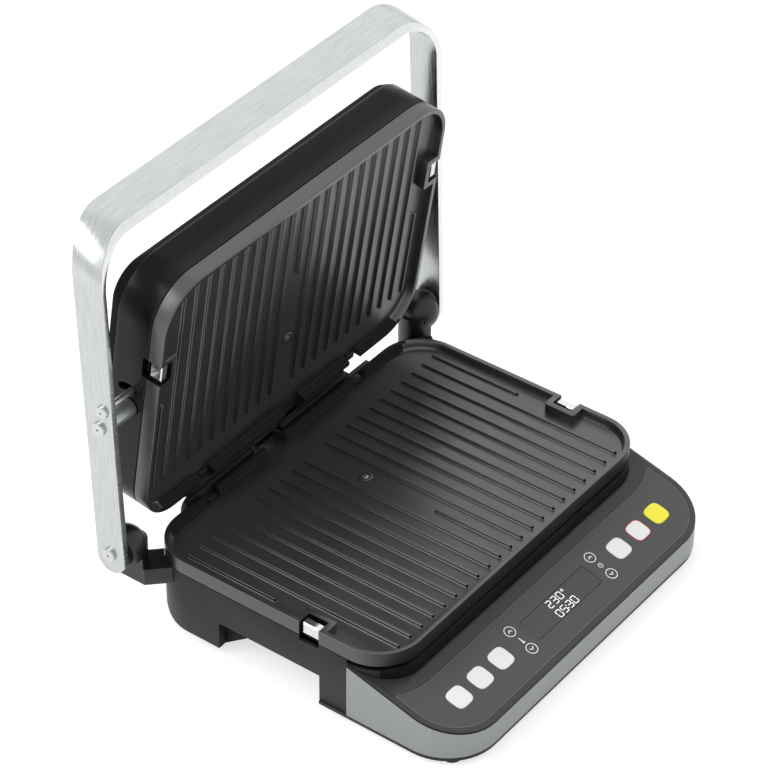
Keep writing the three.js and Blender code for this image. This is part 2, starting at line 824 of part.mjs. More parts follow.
// The sloping panel over the front box, cut round the tub
function panelBezel() {
  let body = slab(boxPlan(0, bandRear), -bandBottom, 0).subtract(abovePanel(0));
  body = body.intersect(abovePanel(panelThick));
  body = body.subtract(slab(platePlan(-gap), -bandBottom, overrun));
  const edge = slab(boxPlan(-overrun, bandRear + overrun), -bandBottom, overrun).subtract(
    slab(boxPlan(bandThick + gap, bandRear + overrun), -bandBottom, overrun),
  );
  body = body.subtract(edge.subtract(abovePanel(panelLip)));
  const recess = slab(overlayPlan(-gap), -pocketFloor, overrun);
  body = body.subtract(ontoPanel(recess));
  for (const x of keyPlaces()) {
    body = body.subtract(ontoPanel(slab(keyPlan(x, gap), -keyWell, overrun, fewSteps)));
    const stemHole = rodZ(keyStem + gap, -panelThick - overrun, overrun, x, itemRow, smallSteps);
    body = body.subtract(ontoPanel(stemHole));
  }
  body = body.subtract(ontoPanel(slab(windowPlan(0), -panelThick - overrun, overrun, fewSteps)));
  for (const side of [-1, 1]) {
    for (const edge of [-boardBelow, boardAbove]) {
      const inward = edge - Math.sign(edge) * postRadius;
      const postTop = -panelThick + gap + gap;
      const postY = itemRow + inward;
      const post = rodZ(postRadius, -boardDrop + gap, postTop, side * postOffset, postY, smallSteps);
      body = body.add(ontoPanel(post));
    }
  }
  return body;
}

function keyPlaces() {
  const places = [];
  for (let k = 2; k >= 0; k -= 1) places.push(-keyFirst - k * keyPitch);
  for (let k = 0; k <= 2; k += 1) places.push(keyFirst + k * keyPitch);
  return places;
}

function keyPlan(x, grow) {
  const half = keySize / 2 + grow;
  const radius = keyCorner + grow;
  return outline([
    [x - half, itemRow - half, radius],
    [x + half, itemRow - half, radius],
    [x + half, itemRow + half, radius],
    [x - half, itemRow + half, radius],
  ]);
}

function windowPlan(inset) {
  const half = windowHalf - inset;
  const rise = windowRise - inset;
  return outline([
    [-half, itemRow - rise, windowCorner],
    [half, itemRow - rise, windowCorner],
    [half, itemRow + rise, windowCorner],
    [-half, itemRow + rise, windowCorner],
  ]);
}

// The printed overlay: straight in the middle, rising round the plate's front corners
function overlayPlan(inset) {
  const half = overlayHalfWidth - inset;
  const front = overlayFront + inset;
  const rear = overlayRear - inset;
  const horn = overlayHorn - inset;
  const round = overlayCorner - inset;
  const shape = new THREE.Shape();
  const bend = halfWidth - plateCorner;
  shape.moveTo(-half + round, front);
  shape.lineTo(half - round, front);
  shape.absarc(half - round, front + round, round, -Math.PI / 2, 0, false);
  shape.lineTo(half, horn - overlayThick);
  shape.quadraticCurveTo(half, horn, half - overlayThick * 2, horn);
  shape.quadraticCurveTo((half + bend) / 2, rear, bend, rear);
  shape.lineTo(-bend, rear);
  shape.quadraticCurveTo(-(half + bend) / 2, rear, -half + overlayThick * 2, horn);
  shape.quadraticCurveTo(-half, horn, -half, horn - overlayThick);
  shape.lineTo(-half, front + round);
  shape.absarc(-half + round, front + round, round, Math.PI, Math.PI * 1.5, false);
  return shape;
}

function overlay() {
  let body = slab(overlayPlan(0), -overlayThick, 0);
  const low = -overlayThick - overrun;
  for (const x of keyPlaces()) body = body.subtract(slab(keyPlan(x, gap), low, overrun, fewSteps));
  return body.subtract(slab(windowPlan(0), low, overrun, fewSteps));
}

function keyCap(x) {
  const cap = slab(keyPlan(x, 0), -keyBottom, keyProud, keySteps);
  return cap.add(rodZ(keyStem, -keyBottom - keyStemLength, -keyBottom + gap, x, itemRow, smallSteps));
}

function controlBoard() {
  const low = itemRow - boardBelow;
  const high = itemRow + boardAbove;
  let body = block(-boardHalf, boardHalf, low, high, -boardDrop - boardThick, -boardDrop);
  const half = switchSize / 2;
  for (const x of keyPlaces()) {
    const top = -boardDrop + switchHeight;
    body = body.add(block(x - half, x + half, itemRow - half, itemRow + half, -boardDrop - gap, top));
  }
  return body;
}

function displayModule() {
  const lens = slab(windowPlan(gap), -displayHeight, 0, fewSteps);
  const low = itemRow - windowRise;
  const high = itemRow + windowRise;
  const body = block(-windowHalf, windowHalf, low, high, -boardDrop + gap, -displayHeight + gap);
  return lens.add(body);
}

function silverBand() {
  const ring = slab(boxPlan(0, bandRear), -bandBottom + gap, 0).subtract(
    slab(boxPlan(bandThick, bandRear + overrun), -bandBottom - overrun, overrun),
  );
  return ring.subtract(abovePanel(panelLip + gap));
}

function bottomCover() {
  return slab(boxPlan(trimInset, archFront), -bandBottom - coverThick, -bandBottom);
}

function foot(x, y, top) {
  const points = [
    new THREE.Vector2(0, -standHeight),
    new THREE.Vector2(footRadius - gap * 2, -standHeight),
    new THREE.Vector2(footRadius, -standHeight + gap * 2),
    new THREE.Vector2(footRadius, -top - gap),
    new THREE.Vector2(0, -top - gap),
  ];
  const geometry = new THREE.LatheGeometry(points, roundSteps);
  geometry.rotateX(Math.PI / 2);
  geometry.translate(x, y, 0);
  return solid(geometry);
}

function dripTray() {
  const bottom = -trayTop - trayHeight;
  const left = -trayHalfWidth;
  const right = trayHalfWidth;
  let body = block(left, right, trayFront, trayRear, bottom, -trayTop);
  const flangeLow = -trayTop - trayWall;
  const flangeLeft = left - trayFlange;
  const flangeRight = right + trayFlange;
  body = body.add(block(flangeLeft, flangeRight, trayFront, trayFlangeRear, flangeLow, -trayTop));
  const x0 = left + trayWall;
  const x1 = right - trayWall;
  body = body.subtract(block(x0, x1, trayFront + trayWall, trayRear - trayWall, bottom + trayWall, overrun));
  const gripRear = trayRear + trayGrip;
  return body.add(block(-trayGripHalf, trayGripHalf, trayRear - gap, gripRear, flangeLow, -trayTop));
}

// Ball hub on a half-round pedestal, with a strut to the tub's back corner
function hingeBracket(side) {
  const ball = new THREE.SphereGeometry(hubRadius, hubSteps, hubSteps / 2);
  ball.translate(side * hubCentre, hubY, hubHeight - ballDrop);
  const centre = side * pedestalFace;
  const far = side * (hubFlat + strutReach);
  const lowY = hubY - strutReach;
  const highY = hubY + strutReach;
  const flat = block(side * hubFlat, far, lowY, highY, -strutReach, strutReach);
  const outside = block(centre, far, lowY, highY, -strutReach, strutReach);
  const tall = pedestalBottom + hubHeight;
  const pedestal = new THREE.CylinderGeometry(pedestalHalf, pedestalHalf, tall, hubSteps);
  pedestal.rotateX(Math.PI / 2);
  pedestal.scale(pedestalReach / pedestalHalf, 1, 1);
  pedestal.translate(centre, hubY, (hubHeight - pedestalBottom) / 2);
  let body = solid(pedestal);
  const strut = new THREE.BoxGeometry(strutWidth, strutReach, pedestalBottom - strutTop);
  strut.translate(0, -strutReach / 2, -(pedestalBottom + strutTop) / 2);
  strut.rotateZ(side * -Math.PI / 4);
  strut.translate(side * (strutLine + hubY), hubY, 0);
  body = body.add(solid(strut)).subtract(outside);
  body = body.subtract(slab(platePlan(-gap), -pedestalBottom - overrun, -strutTop + overrun));
  body = body.add(solid(ball).subtract(flat));
  const boreEnd = side * (hubShankEnd - gap);
  return body.subtract(rodX(shankRadius + gap, boreEnd, side * (hubFlat + overrun), hubY, hubHeight));
}

function hubWasher(side) {
  const x0 = side * (hubFlat + gap);
  const x1 = side * (armInner - gap);
  const ring = rodX(washerRadius, x0, x1, hubY, hubHeight);
  const past = side * overrun;
  return ring.subtract(rodX(shankRadius + gap, x0 - past, x1 + past, hubY, hubHeight));
}

// A rail behind one heated half, from left to right and up to top, with a gap for the spout
function rail(left, right, top) {
  const plan = outline([
    [left, -railBottom, 0],
    [right, -railBottom, 0],
    [right, top, railRound],
    [left, top, railRound],
  ]);
  const geometry = new THREE.ExtrudeGeometry(plan, {
    depth: railRear - railFront,
    bevelEnabled: false,
    curveSegments: cornerSteps,
  });
  geometry.rotateX(Math.PI / 2);
  geometry.translate(0, railRear, 0);
  let body = solid(geometry);
  const footFront = halfDepth + gap;
  const footTop = -clipLeg - gap;
  body = body.add(block(left, right, footFront, railFront + gap, -railBottom, footTop));
  const gapLeft = spoutCentre - railGap / 2;
  const gapRight = spoutCentre + railGap / 2;
  const gapRear = railRear + overrun;
  const gapTop = top + overrun;
  return body.subtract(block(gapLeft, gapRight, halfDepth, gapRear, -railFlangeTop, gapTop));
}

// The base's rail steps down at its right end
function rearRail() {
  const past = railHalf + overrun;
  const above = railTop + overrun;
  const step = block(railStep, past, halfDepth, railRear + overrun, -railStepTop, above);
  return rail(-railHalf, railHalf, railTop).subtract(step);
}

function cableInlet() {
  const y0 = halfDepth - tubWall - gap;
  const flange = halfDepth + gap;
  const y1 = flange + inletProud;
  let body = rodY(inletRadius, y0, flange + gap, inletX, -inletDrop);
  body = body.add(rodY(inletFlange, flange, y1, inletX, -inletDrop));
  return body.subtract(rodY(inletBore, y0 - overrun, y1 + overrun, inletX, -inletDrop));
}

// Points round the lid's outline at one height, drawn in from its sides and ends
function lidRing(insetSide, insetEnd, radius, z) {
  const x = halfWidth - insetSide;
  const y = halfDepth - insetEnd;
  const shape = outline([
    [-x, -y, radius],
    [x, -y, radius],
    [x, y, radius],
    [-x, y, radius],
  ]);
  return shape.getPoints(cornerSteps).slice(0, -1).map((p) => new THREE.Vector3(p.x, p.y, z));
}

// The lid's outer or inner form: straight to the crease, then drawn in to a tighter-cornered back
function lidForm(wall, rim, back) {
  return loft([
    lidRing(wall, wall, plateCorner - wall, rim),
    lidRing(wall, wall, plateCorner - wall, -creaseHeight),
    lidRing(backInsetSide + wall, backInsetEnd + wall, backCorner - wall, back),
  ]);
}

function lidShell() {
  const low = -(skirtHeight + seam);
  let body = lidForm(0, low, -lidHeight);
  body = body.subtract(lidForm(shellWall, overrun, -lidInnerTop));
  body = body.subtract(spoutNotch(shellWall));
  for (const side of [-1, 1]) {
    const far = side * (halfWidth + overrun);
    const notchIn = side * (halfWidth - shellWall - overrun);
    const half = pocketWidth / 2;
    body = body.subtract(block(notchIn, far, latchY - half, latchY + half, low - latchNotch, overrun));
    body = body.add(latchSeat(side, lidInnerTop));
    const postX = side * (panHalfWidth - panCorner);
    for (const edge of [-1, 1]) {
      const postY = edge * (panHalfDepth - panCorner);
      body = body.add(rodZ(lidPost, -lidInnerTop - gap, -panFloor - gap, postX, postY, smallSteps));
    }
    const pivotLevel = closedGap - pivotZ;
    const wallIn = side * (halfWidth - shellWall - overrun);
    body = body.subtract(rodX(trunnionStub + gap, wallIn, far, pivotY, pivotLevel));
    body = body.subtract(stopSlot(wallIn, far, pivotY, pivotLevel));
  }
  return body;
}

// Curved slot for the stop pin, drawn in the heated half's frame where the lid's back is down
function stopSlot(x0, x1, y, z) {
  const rest = stopAngle + armSlope;
  const from = THREE.MathUtils.degToRad(rest - slotBelow);
  const to = THREE.MathUtils.degToRad(rest + slotAbove);
  const wide = stopPin + gap * 2;
  const shape = new THREE.Shape();
  shape.absarc(0, 0, stopRadius + wide, from, to, false);
  const endAt = (angle) => [Math.cos(angle) * stopRadius, Math.sin(angle) * stopRadius];
  shape.absarc(...endAt(to), wide, to, to + Math.PI, false);
  shape.absarc(0, 0, stopRadius - wide, to, from, true);
  shape.absarc(...endAt(from), wide, from + Math.PI, from + Math.PI * 2, false);
  const geometry = new THREE.ExtrudeGeometry(shape, {
    depth: Math.abs(x1 - x0),
    bevelEnabled: false,
    curveSegments: cornerSteps,
  });
  const place = new THREE.Matrix4();
  place.makeBasis(new THREE.Vector3(0, -1, 0), new THREE.Vector3(0, 0, -1), new THREE.Vector3(1, 0, 0));
  geometry.applyMatrix4(place);
  geometry.translate(Math.min(x0, x1), y, z);
  return solid(geometry);
}

function trunnion(side) {
  const x0 = side * (halfWidth + gap);
  const x1 = side * (armInner - gap);
  const z = closedGap - pivotZ;
  let body = rodX(trunnionRadius, x0, x1, pivotY, z);
  body = body.add(rodX(trunnionStub, side * trunnionEnd, x0 + side * gap, pivotY, z));
  const boreEnd = side * (pivotShankEnd - gap);
  return body.subtract(rodX(pivotShank + gap, boreEnd, x1 + side * overrun, pivotY, z));
}

// The handle in its own frame: arms along -Y, strap width along Z, hub at the origin.
// Its grip is swept to the back, so each long edge has its own top, bend and places across.
function strapRing(turn, along) {
  const edges = [
    [topRear, bendRear, 0, armWidth / 2, armRearBend, sweepRear],
    [topFront, bendFront, 0, -armWidth / 2, armFrontBend, sweepFront],
    [topFrontInner, bendFrontInner, armThick, -armWidth / 2, armFrontInnerBend, sweepFrontInner],
    [topRearInner, bendRearInner, armThick, armWidth / 2, armRearBend, sweepRearInner],
  ];
  return edges.map(([top, bend, inset, atRoot, atBend, atTop]) => {
    const straight = top - bend;
    const x = armOuter - inset - bend + bend * Math.cos(turn);
    const y = -(armRoot + (straight - armRoot) * along + bend * Math.sin(turn));
    const across = atRoot + (atBend - atRoot) * along + (atTop - atBend) * Math.sin(turn) ** 2;
    return new THREE.Vector3(x, y, across);
  });
}

function strap() {
  const right = [strapRing(0, 0)];
  for (let i = 0; i <= bendSteps; i += 1) right.push(strapRing((i / bendSteps) * (Math.PI / 2), 1));
  const left = right.slice().reverse().map((ring) => ring.map((p) => new THREE.Vector3(-p.x, p.y, p.z)));
  const all = [...right, ...left];
  return loft(all);
}

function stopPlace() {
  const angle = THREE.MathUtils.degToRad(stopAngle);
  const y = -(pivotReach + stopRadius * Math.cos(angle));
  return [y, stopRadius * Math.sin(angle)];
}

function handle() {
  let body = strap();
  const round = armWidth / 2;
  const [stopY, stopZ] = stopPlace();
  for (const side of [-1, 1]) {
    const inner = side * armInner;
    const outer = side * armOuter;
    body = body.add(block(inner, outer, -armRoot - overrun, armTail, -round, round));
    body = body.add(rodX(round, inner, outer, armTail, 0, hubSteps));
    const x0 = inner - side * overrun;
    const x1 = outer + side * overrun;
    body = body.subtract(rodX(shankRadius + gap, x0, x1, 0, 0));
    body = body.subtract(rodX(pivotShank + gap, x0, x1, -pivotReach, 0));
    body = body.subtract(rodX(stopPin + gap, x0, x1, stopY, stopZ));
  }
  return body;
}

function armScrew(side, radius, head, end, y, z) {
  const seat = side * (armOuter + gap);
  const body = rodX(radius, side * end, seat + side * gap, y, z);
  return body.add(rodX(head, seat, seat + side * headThick, y, z));
}

// Assembly: the base, then the handle and lid folded back about the hub
const grill = new THREE.Group();
grill.position.set(0, originShift, standHeight);

const base = new THREE.Group();
grill.add(base);
part(base, 'base_housing', baseHousing(), blackPlastic);
part(base, 'bottom_cover', bottomCover(), blackPlastic);
part(base, 'panel_bezel', panelBezel(), panelGrey);
part(base, 'silver_band', silverBand(), silverPaint);
part(base, 'rear_rail', rearRail(), blackPlastic);
part(base, 'cable_inlet', cableInlet(), rubber);
part(base, 'drip_tray', dripTray(), blackPlastic);
heatedHalf(base, 'lower', -1);
for (const side of [-1, 1]) {
  const label = side < 0 ? 'left' : 'right';
  const x = side * footOffset;
  part(base, `hinge_bracket_${label}`, hingeBracket(side), glossBlack);
  part(base, `hub_washer_${label}`, hubWasher(side), sheetMetal);
  part(base, `foot_front_${label}`, foot(x, frontFoot, bandBottom + coverThick), rubber);
  part(base, `foot_rear_${label}`, foot(x, rearFoot, legBottom), rubber);
}

const panel = new THREE.Group();
panel.position.set(0, boxFront, -panelFrontHeight);
panel.rotation.x = panelAngle;
base.add(panel);
part(panel, 'panel_overlay', overlay(), panelGrey);
part(panel, 'display_module', displayModule(), displayBlack);
part(panel, 'control_board', controlBoard(), boardGreen);
const keyNames = ['key_1', 'key_2', 'key_3', 'key_4', 'key_5', 'key_6'];
keyPlaces().forEach((x, i) => {
  const last = i === keyNames.length - 1;
  part(panel, keyNames[i], keyCap(x), last ? keyYellow : keyWhite);
});

const folding = new THREE.Group();
folding.position.set(0, hubY, hubHeight);
folding.rotation.x = -fold;
grill.add(folding);

const arms = new THREE.Group();
arms.rotation.x = -closedArm;
folding.add(arms);
part(arms, 'handle', handle(), brushedAluminium);
const [stopY, stopZ] = stopPlace();
for (const side of [-1, 1]) {
  const label = side < 0 ? 'left' : 'right';
  part(arms, `hub_screw_${label}`, armScrew(side, shankRadius, headRadius, hubShankEnd, 0, 0), chrome);
  const pivot = armScrew(side, pivotShank, headRadius, pivotShankEnd, -pivotReach, 0);
  part(arms, `lid_pivot_screw_${label}`, pivot, chrome);
  const stop = armScrew(side, stopPin, stopHead, stopEnd, stopY, stopZ);
  part(arms, `tilt_stop_pin_${label}`, stop, chrome);
}

// The lid is the lower half turned over about Y, a small gap above it when shut
const lid = new THREE.Group();
lid.position.set(0, -hubY, -hubHeight + closedGap);
lid.rotation.y = Math.PI;
folding.add(lid);
part(lid, 'lid_shell', lidShell(), blackPlastic);
part(lid, 'lid_rail', rail(-lidRailEnd, railHalf, lidRailTop), blackPlastic);
heatedHalf(lid, 'upper', 1);
part(lid, 'lid_trunnion_left', trunnion(1), sheetMetal);
part(lid, 'lid_trunnion_right', trunnion(-1), sheetMetal);

export default grill;
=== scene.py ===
import math

import bmesh
import bpy
from mathutils import Matrix, Vector


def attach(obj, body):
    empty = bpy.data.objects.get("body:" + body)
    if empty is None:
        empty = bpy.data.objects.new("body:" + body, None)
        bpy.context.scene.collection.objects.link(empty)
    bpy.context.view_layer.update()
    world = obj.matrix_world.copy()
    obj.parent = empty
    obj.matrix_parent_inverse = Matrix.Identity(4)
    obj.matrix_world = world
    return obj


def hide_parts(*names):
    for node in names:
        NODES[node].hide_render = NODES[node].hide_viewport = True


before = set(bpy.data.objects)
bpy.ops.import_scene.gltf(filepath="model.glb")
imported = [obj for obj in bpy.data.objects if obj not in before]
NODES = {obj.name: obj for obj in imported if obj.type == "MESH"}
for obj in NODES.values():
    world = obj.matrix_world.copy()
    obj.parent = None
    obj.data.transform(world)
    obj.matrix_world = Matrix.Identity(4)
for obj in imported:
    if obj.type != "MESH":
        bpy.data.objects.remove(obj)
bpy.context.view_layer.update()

# Frames, all in millimetres: the plate frame's origin is the middle of the lower plate's rim
HUB = Vector((0, 106.6, 6.7))
CLOSED_GAP = 3.0
OPEN_DEGREES, PIVOT_DEGREES = 81.3, 10.2
WORLD = Matrix.Scale(0.001, 4) @ Matrix.Translation((0, 6.0595, 66))
LOWER = Matrix.Identity(4)
UPPER = (
    Matrix.Translation(HUB)
    @ Matrix.Rotation(-math.radians(OPEN_DEGREES), 4, "X")
    @ Matrix.Translation((0, -HUB.y, CLOSED_GAP - HUB.z))
    @ Matrix.Rotation(math.pi, 4, "Y")
)
PANEL = Matrix.Translation((0, -160.9, -40.2)) @ Matrix.Rotation(math.radians(15.2), 4, "X")
HANDLE = Matrix.Translation(HUB) @ Matrix.Rotation(-math.radians(OPEN_DEGREES + PIVOT_DEGREES), 4, "X")

# Plates, in millimetres: their outline and levels, then the latch pockets, the probe, clips, spout and ribs
HALF_W, HALF_D, CORNER = 150.0, 102.5, 33.0
RIM_BOTTOM, FLOOR, FLOOR_BOTTOM = -11.2, -6.4, -9.6
WALL = 4.5
OVER = 4
LATCH_Y = HALF_D - 139.5
POCKET_IN, POCKET_HALF, POCKET_WALL = HALF_W - 10.9, 8, 4.5
CATCH_HALF, CATCH_DEEP, CATCH_LOW, CATCH_HIGH = 4.4, 2.2, -7.9, -4.9
PROBE_Y = HALF_D - 71.7
CLIP_X, CLIP_NOTCH = 82, 6.5
SPOUT_LEFT, SPOUT_RIGHT, SPOUT_WALL = -25, 0, 2
SPOUT_REACH, SPOUT_CUT = 7.5, 12
RIB_PITCH, LAST_RIB = 12.5, 11

# Control panel: the row of the keys and the display, half widths of a key, its hole and its red line
ITEM_ROW = 28.3
KEYS = [-115.8, -92.6, -69.4, 69.4, 92.6, 115.8]
KEY_HALF, KEY_HOLE, KEY_LINE = 7.9, 8.1, (7.92, 7.38)
LINED_KEY, YELLOW_KEY = 4, 5
WINDOW_X, WINDOW_Y = 37, 9.1
DIGIT_WIDE, DIGIT_TALL, DIGIT_HALF_LINE = 4.4, 6.3, 0.3
PRINT_LOW, PRINT_HIGH = -0.05, 0.03

# Arms: their outer face, the lid pivot's distance from the hub, and the stop pin's from that pivot
ARM_FACE, ARM_THICK, ARM_HALF = 179, 5.1, 11.5
PIVOT = 105.2
STOP, STOP_TURN = 15.7, math.radians(-14.7)
SLOT_HALF, SLOT_START, SLOT_SWEEP = 3.1, -6.7, 35.2


# Materials
def linear(value):
    """A screen tone from 0 to 255 as linear light."""
    value /= 255
    return value / 12.92 if value <= 0.04045 else ((value + 0.055) / 1.055) ** 2.4


def tint(color, gain):
    return [min(1.0, linear(c) * gain) for c in color] + [1.0]


def noise(tree, vector, scale, detail=3.0, stretch=None):
    source = vector
    if stretch:
        mapping = tree.nodes.new("ShaderNodeMapping")
        mapping.inputs["Scale"].default_value = stretch
        tree.links.new(source, mapping.inputs["Vector"])
        source = mapping.outputs["Vector"]
    node = tree.nodes.new("ShaderNodeTexNoise")
    node.inputs["Scale"].default_value = scale
    node.inputs["Detail"].default_value = detail
    tree.links.new(source, node.inputs["Vector"])
    return node.outputs["Fac"]


def remap(tree, value, low, high, start=0.0, end=1.0):
    """Maps a value that runs from start to end onto low to high."""
    node = tree.nodes.new("ShaderNodeMapRange")
    node.inputs["From Min"].default_value = start
    node.inputs["From Max"].default_value = end
    node.inputs["To Min"].default_value = low
    node.inputs["To Max"].default_value = high
    tree.links.new(value, node.inputs["Value"])
    return node.outputs["Result"]


def spread(tree, value, low, high):
    """Maps the middle range of a noise onto low to high."""
    return remap(tree, value, low, high, start=0.3, end=0.7)


def combine(tree, operation, first, second):
    node = tree.nodes.new("ShaderNodeMath")
    node.operation = operation
    tree.links.new(first, node.inputs[0])
    tree.links.new(second, node.inputs[1])
    return node.outputs[0]


def ramp(tree, value, stops):
    """A colour between the two stops."""
    node = tree.nodes.new("ShaderNodeValToRGB")
    for i, (at, color) in enumerate(stops):
        point = node.color_ramp.elements[i]
        point.position = at
        point.color = color
    tree.links.new(value, node.inputs["Fac"])
    return node.outputs["Color"]


def blend_colors(tree, factor, first, second):
    node = tree.nodes.new("ShaderNodeMix")
    node.data_type = "RGBA"
    tree.links.new(factor, node.inputs["Factor"])
    tree.links.new(first, node.inputs[6])
    node.inputs[7].default_value = second
    return node.outputs[2]


def edges(tree, radius, sharp):
    """How strongly a point lies on an edge, from 0 to 1, for edge wear that is partly a painted edge
    highlight.
    """
    bevel = tree.nodes.new("ShaderNodeBevel")
    bevel.samples = 4
    bevel.inputs["Radius"].default_value = radius / 1000
    shape = tree.nodes.new("ShaderNodeNewGeometry")
    product = tree.nodes.new("ShaderNodeVectorMath")
    product.operation = "DOT_PRODUCT"
    tree.links.new(bevel.outputs["Normal"], product.inputs[0])
    tree.links.new(shape.outputs["Normal"], product.inputs[1])
    return remap(tree, product.outputs["Value"], low=0.0, high=1.0, start=1.0, end=sharp)


DUST_TONE = (150, 148, 145)
WEAR_AND_HIGHLIGHT_RADIUS, WEAR_AND_HIGHLIGHT_COSINE = 0.7, 0.93


def surface(
    name, color, rough, metallic=0.0, grain=1400, height=20, vary=0.06, shade=0.08, coat=0.0, specular=0.5,
    stretch=None, uv=False, wear_and_highlight=None, emit=0.0, dust=0.0, ior=1.5, front=None,
):
    """A finish with fine grain, whose height is in micrometres.

    Where front is given, it is a lower specular level for the faces that look to the front, which darkens
    them as painted shade.
    """
    mat = bpy.data.materials.new(name)
    mat.use_nodes = True
    tree = mat.node_tree
    shader = tree.nodes["Principled BSDF"]
    shader.inputs["Metallic"].default_value = metallic
    shader.inputs["Coat Weight"].default_value = coat
    shader.inputs["Coat Roughness"].default_value = 0.08
    shader.inputs["Specular IOR Level"].default_value = specular
    shader.inputs["IOR"].default_value = ior
    coord = tree.nodes.new("ShaderNodeTexCoord")
    place = coord.outputs["UV" if uv else "Object"]
    fine = noise(tree, place, grain, detail=4.0, stretch=stretch)
    broad = noise(tree, coord.outputs["Object"], scale=22.0, detail=3.0)
    base = ramp(tree, fine, [(0.3, tint(color, 1 - shade)), (0.7, tint(color, 1 + shade))])
    if dust:
        base = blend_colors(tree, spread(tree, broad, 0.0, dust), base, tint(DUST_TONE, 1))
    # Lighter colour along edges: partly edge wear, partly a painted edge highlight
    if wear_and_highlight:
        edge = edges(tree, WEAR_AND_HIGHLIGHT_RADIUS, WEAR_AND_HIGHLIGHT_COSINE)
        wear_and_highlight_mask = combine(tree, "MULTIPLY", edge, spread(tree, broad, 0.25, 0.8))
        base = blend_colors(tree, wear_and_highlight_mask, base, tint(wear_and_highlight, 1))
    tree.links.new(base, shader.inputs["Base Color"])
    swing = vary * 0.5
    close = spread(tree, fine, -swing, swing)
    wide = spread(tree, broad, rough - swing, rough + swing)
    tree.links.new(combine(tree, "ADD", close, wide), shader.inputs["Roughness"])
    bump = tree.nodes.new("ShaderNodeBump")
    bump.inputs["Strength"].default_value = 1.0
    bump.inputs["Distance"].default_value = height * 1e-6
    tree.links.new(fine, bump.inputs["Height"])
    tree.links.new(bump.outputs["Normal"], shader.inputs["Normal"])
    if front is not None:
        part = tree.nodes.new("ShaderNodeSeparateXYZ")
        tree.links.new(coord.outputs["Normal"], part.inputs[0])
        level = remap(tree, part.outputs["Y"], low=front, high=specular, start=-0.95, end=-0.2)
        tree.links.new(level, shader.inputs["Specular IOR Level"])
    if emit:
        shader.inputs["Emission Color"].default_value = tint(color, 1)
        shader.inputs["Emission Strength"].default_value = emit
    return mat


BLACK = surface(
    "moulded_black_plastic", (27, 27, 28), 0.5, grain=1600, height=15, wear_and_highlight=(62, 62, 64), specular=0.35,
)
GLOSS = surface("satin_black_bracket", (20, 20, 21), 0.34, grain=700, height=8)
COATING = surface(
    "cast_plate_coating", (28, 28, 29), 0.33, grain=1900, height=14, shade=0.16, specular=0.8, ior=1.68,
)
# The plate's outer wall, darker where it faces forward: painted shade
CAST_SIDE_SHADE = surface(
    "cast_plate_side_painted_shade", (32, 32, 33), 0.33, grain=1900, height=14, shade=0.16, specular=0.7, ior=1.68,
    front=0.08,
)
# A matt, low-specular black, used as painted shade on faces that should look darker
SHADE_MATT = surface("matt_black_painted_shade", (30, 30, 31), 0.6, grain=1900, height=14, shade=0.16, specular=0.12)
CLIP = surface("blackened_clip_steel", (42, 43, 44), 0.4, metallic=0.4, grain=900, height=10, shade=0.1)
LID_BLACK = surface(
    "lid_gloss_plastic", (19, 19, 20), 0.22, grain=1500, height=6, vary=0.05, wear_and_highlight=(70, 70, 72),
    specular=0.16,
)
LID_BACK = surface(
    "lid_back_matt_plastic", (17, 17, 18), 0.75, grain=700, height=40, shade=0.22, specular=0.05,
)
PANEL_GREY = surface(
    "console_grey_plastic", (56, 56, 57), 0.45, grain=1300, height=10, wear_and_highlight=(84, 84, 84), specular=0.4,
)
OVERLAY = surface("printed_overlay_grey", (71, 71, 71), 0.4, grain=2200, height=6, shade=0.05, specular=0.45)
BORDER_HIGHLIGHT = surface("overlay_edge_highlight_line", (112, 112, 112), 0.4, grain=2200, height=4)
SILVER = surface(
    "silver_painted_band", (151, 155, 154), 0.38, metallic=0.6, grain=3000, height=6, shade=0.07,
    wear_and_highlight=(206, 208, 208),
)
BRUSHED = surface(
    "brushed_aluminium", (191, 194, 195), 0.27, metallic=1.0, grain=1.0, height=50, vary=0.1,
    shade=0.1, stretch=(45, 800, 1), uv=True,
)
EDGE_METAL = surface(
    "sheared_aluminium_edge", (228, 230, 231), 0.3, metallic=1.0, grain=1.0, height=20, vary=0.1,
    shade=0.06, stretch=(700, 60, 1), uv=True,
)
SATIN = surface("satin_aluminium_screw", (200, 202, 203), 0.3, metallic=1.0, grain=900, height=6, shade=0.04)
CHROME = surface("chrome_plated_steel", (216, 218, 220), 0.12, metallic=1.0, grain=600, height=4)
SHEET = surface("aluminised_sheet", (176, 180, 182), 0.38, metallic=0.9, grain=700, height=10, shade=0.12)
HEATER = surface("heater_tube_steel", (104, 100, 98), 0.45, metallic=0.8, grain=800, height=20, shade=0.2)
SPRING = surface("spring_steel", (160, 163, 166), 0.3, metallic=0.9, grain=900, height=8, shade=0.1)
KEY_WHITE = surface(
    "key_white_gloss", (238, 240, 240), 0.3, grain=900, height=1, vary=0.03, shade=0.012, coat=0.2,
)
KEY_YELLOW = surface(
    "key_yellow_gloss", (255, 243, 70), 0.35, grain=900, height=1, vary=0.03, shade=0.012, specular=0.3,
)
KEY_RED = surface("key_red_outline", (196, 52, 58), 0.35, grain=900, height=4)
DISPLAY = surface("display_dark_glass", (66, 65, 67), 0.3, grain=600, height=2, specular=0.45)
# The white print also glows a little: painted light
PRINT = surface("white_print_painted_glow", (236, 238, 238), 0.4, grain=1500, height=4, shade=0.03, emit=0.15)
DIGIT = surface("lit_digits", (246, 248, 248), 0.4, grain=1500, height=4, shade=0.03, emit=0.5)
# Near-black painted shade, for recesses, sockets and faces that stand in shade
SHADE_BLACK = surface("painted_shade_black", (10, 10, 11), 0.6, grain=900, height=10, specular=0.15)
BOARD = surface("circuit_board_green", (31, 90, 56), 0.5, grain=500, height=20, shade=0.15)
RUBBER = surface("foot_rubber", (26, 26, 27), 0.8, grain=1100, height=40, shade=0.15, dust=0.15)


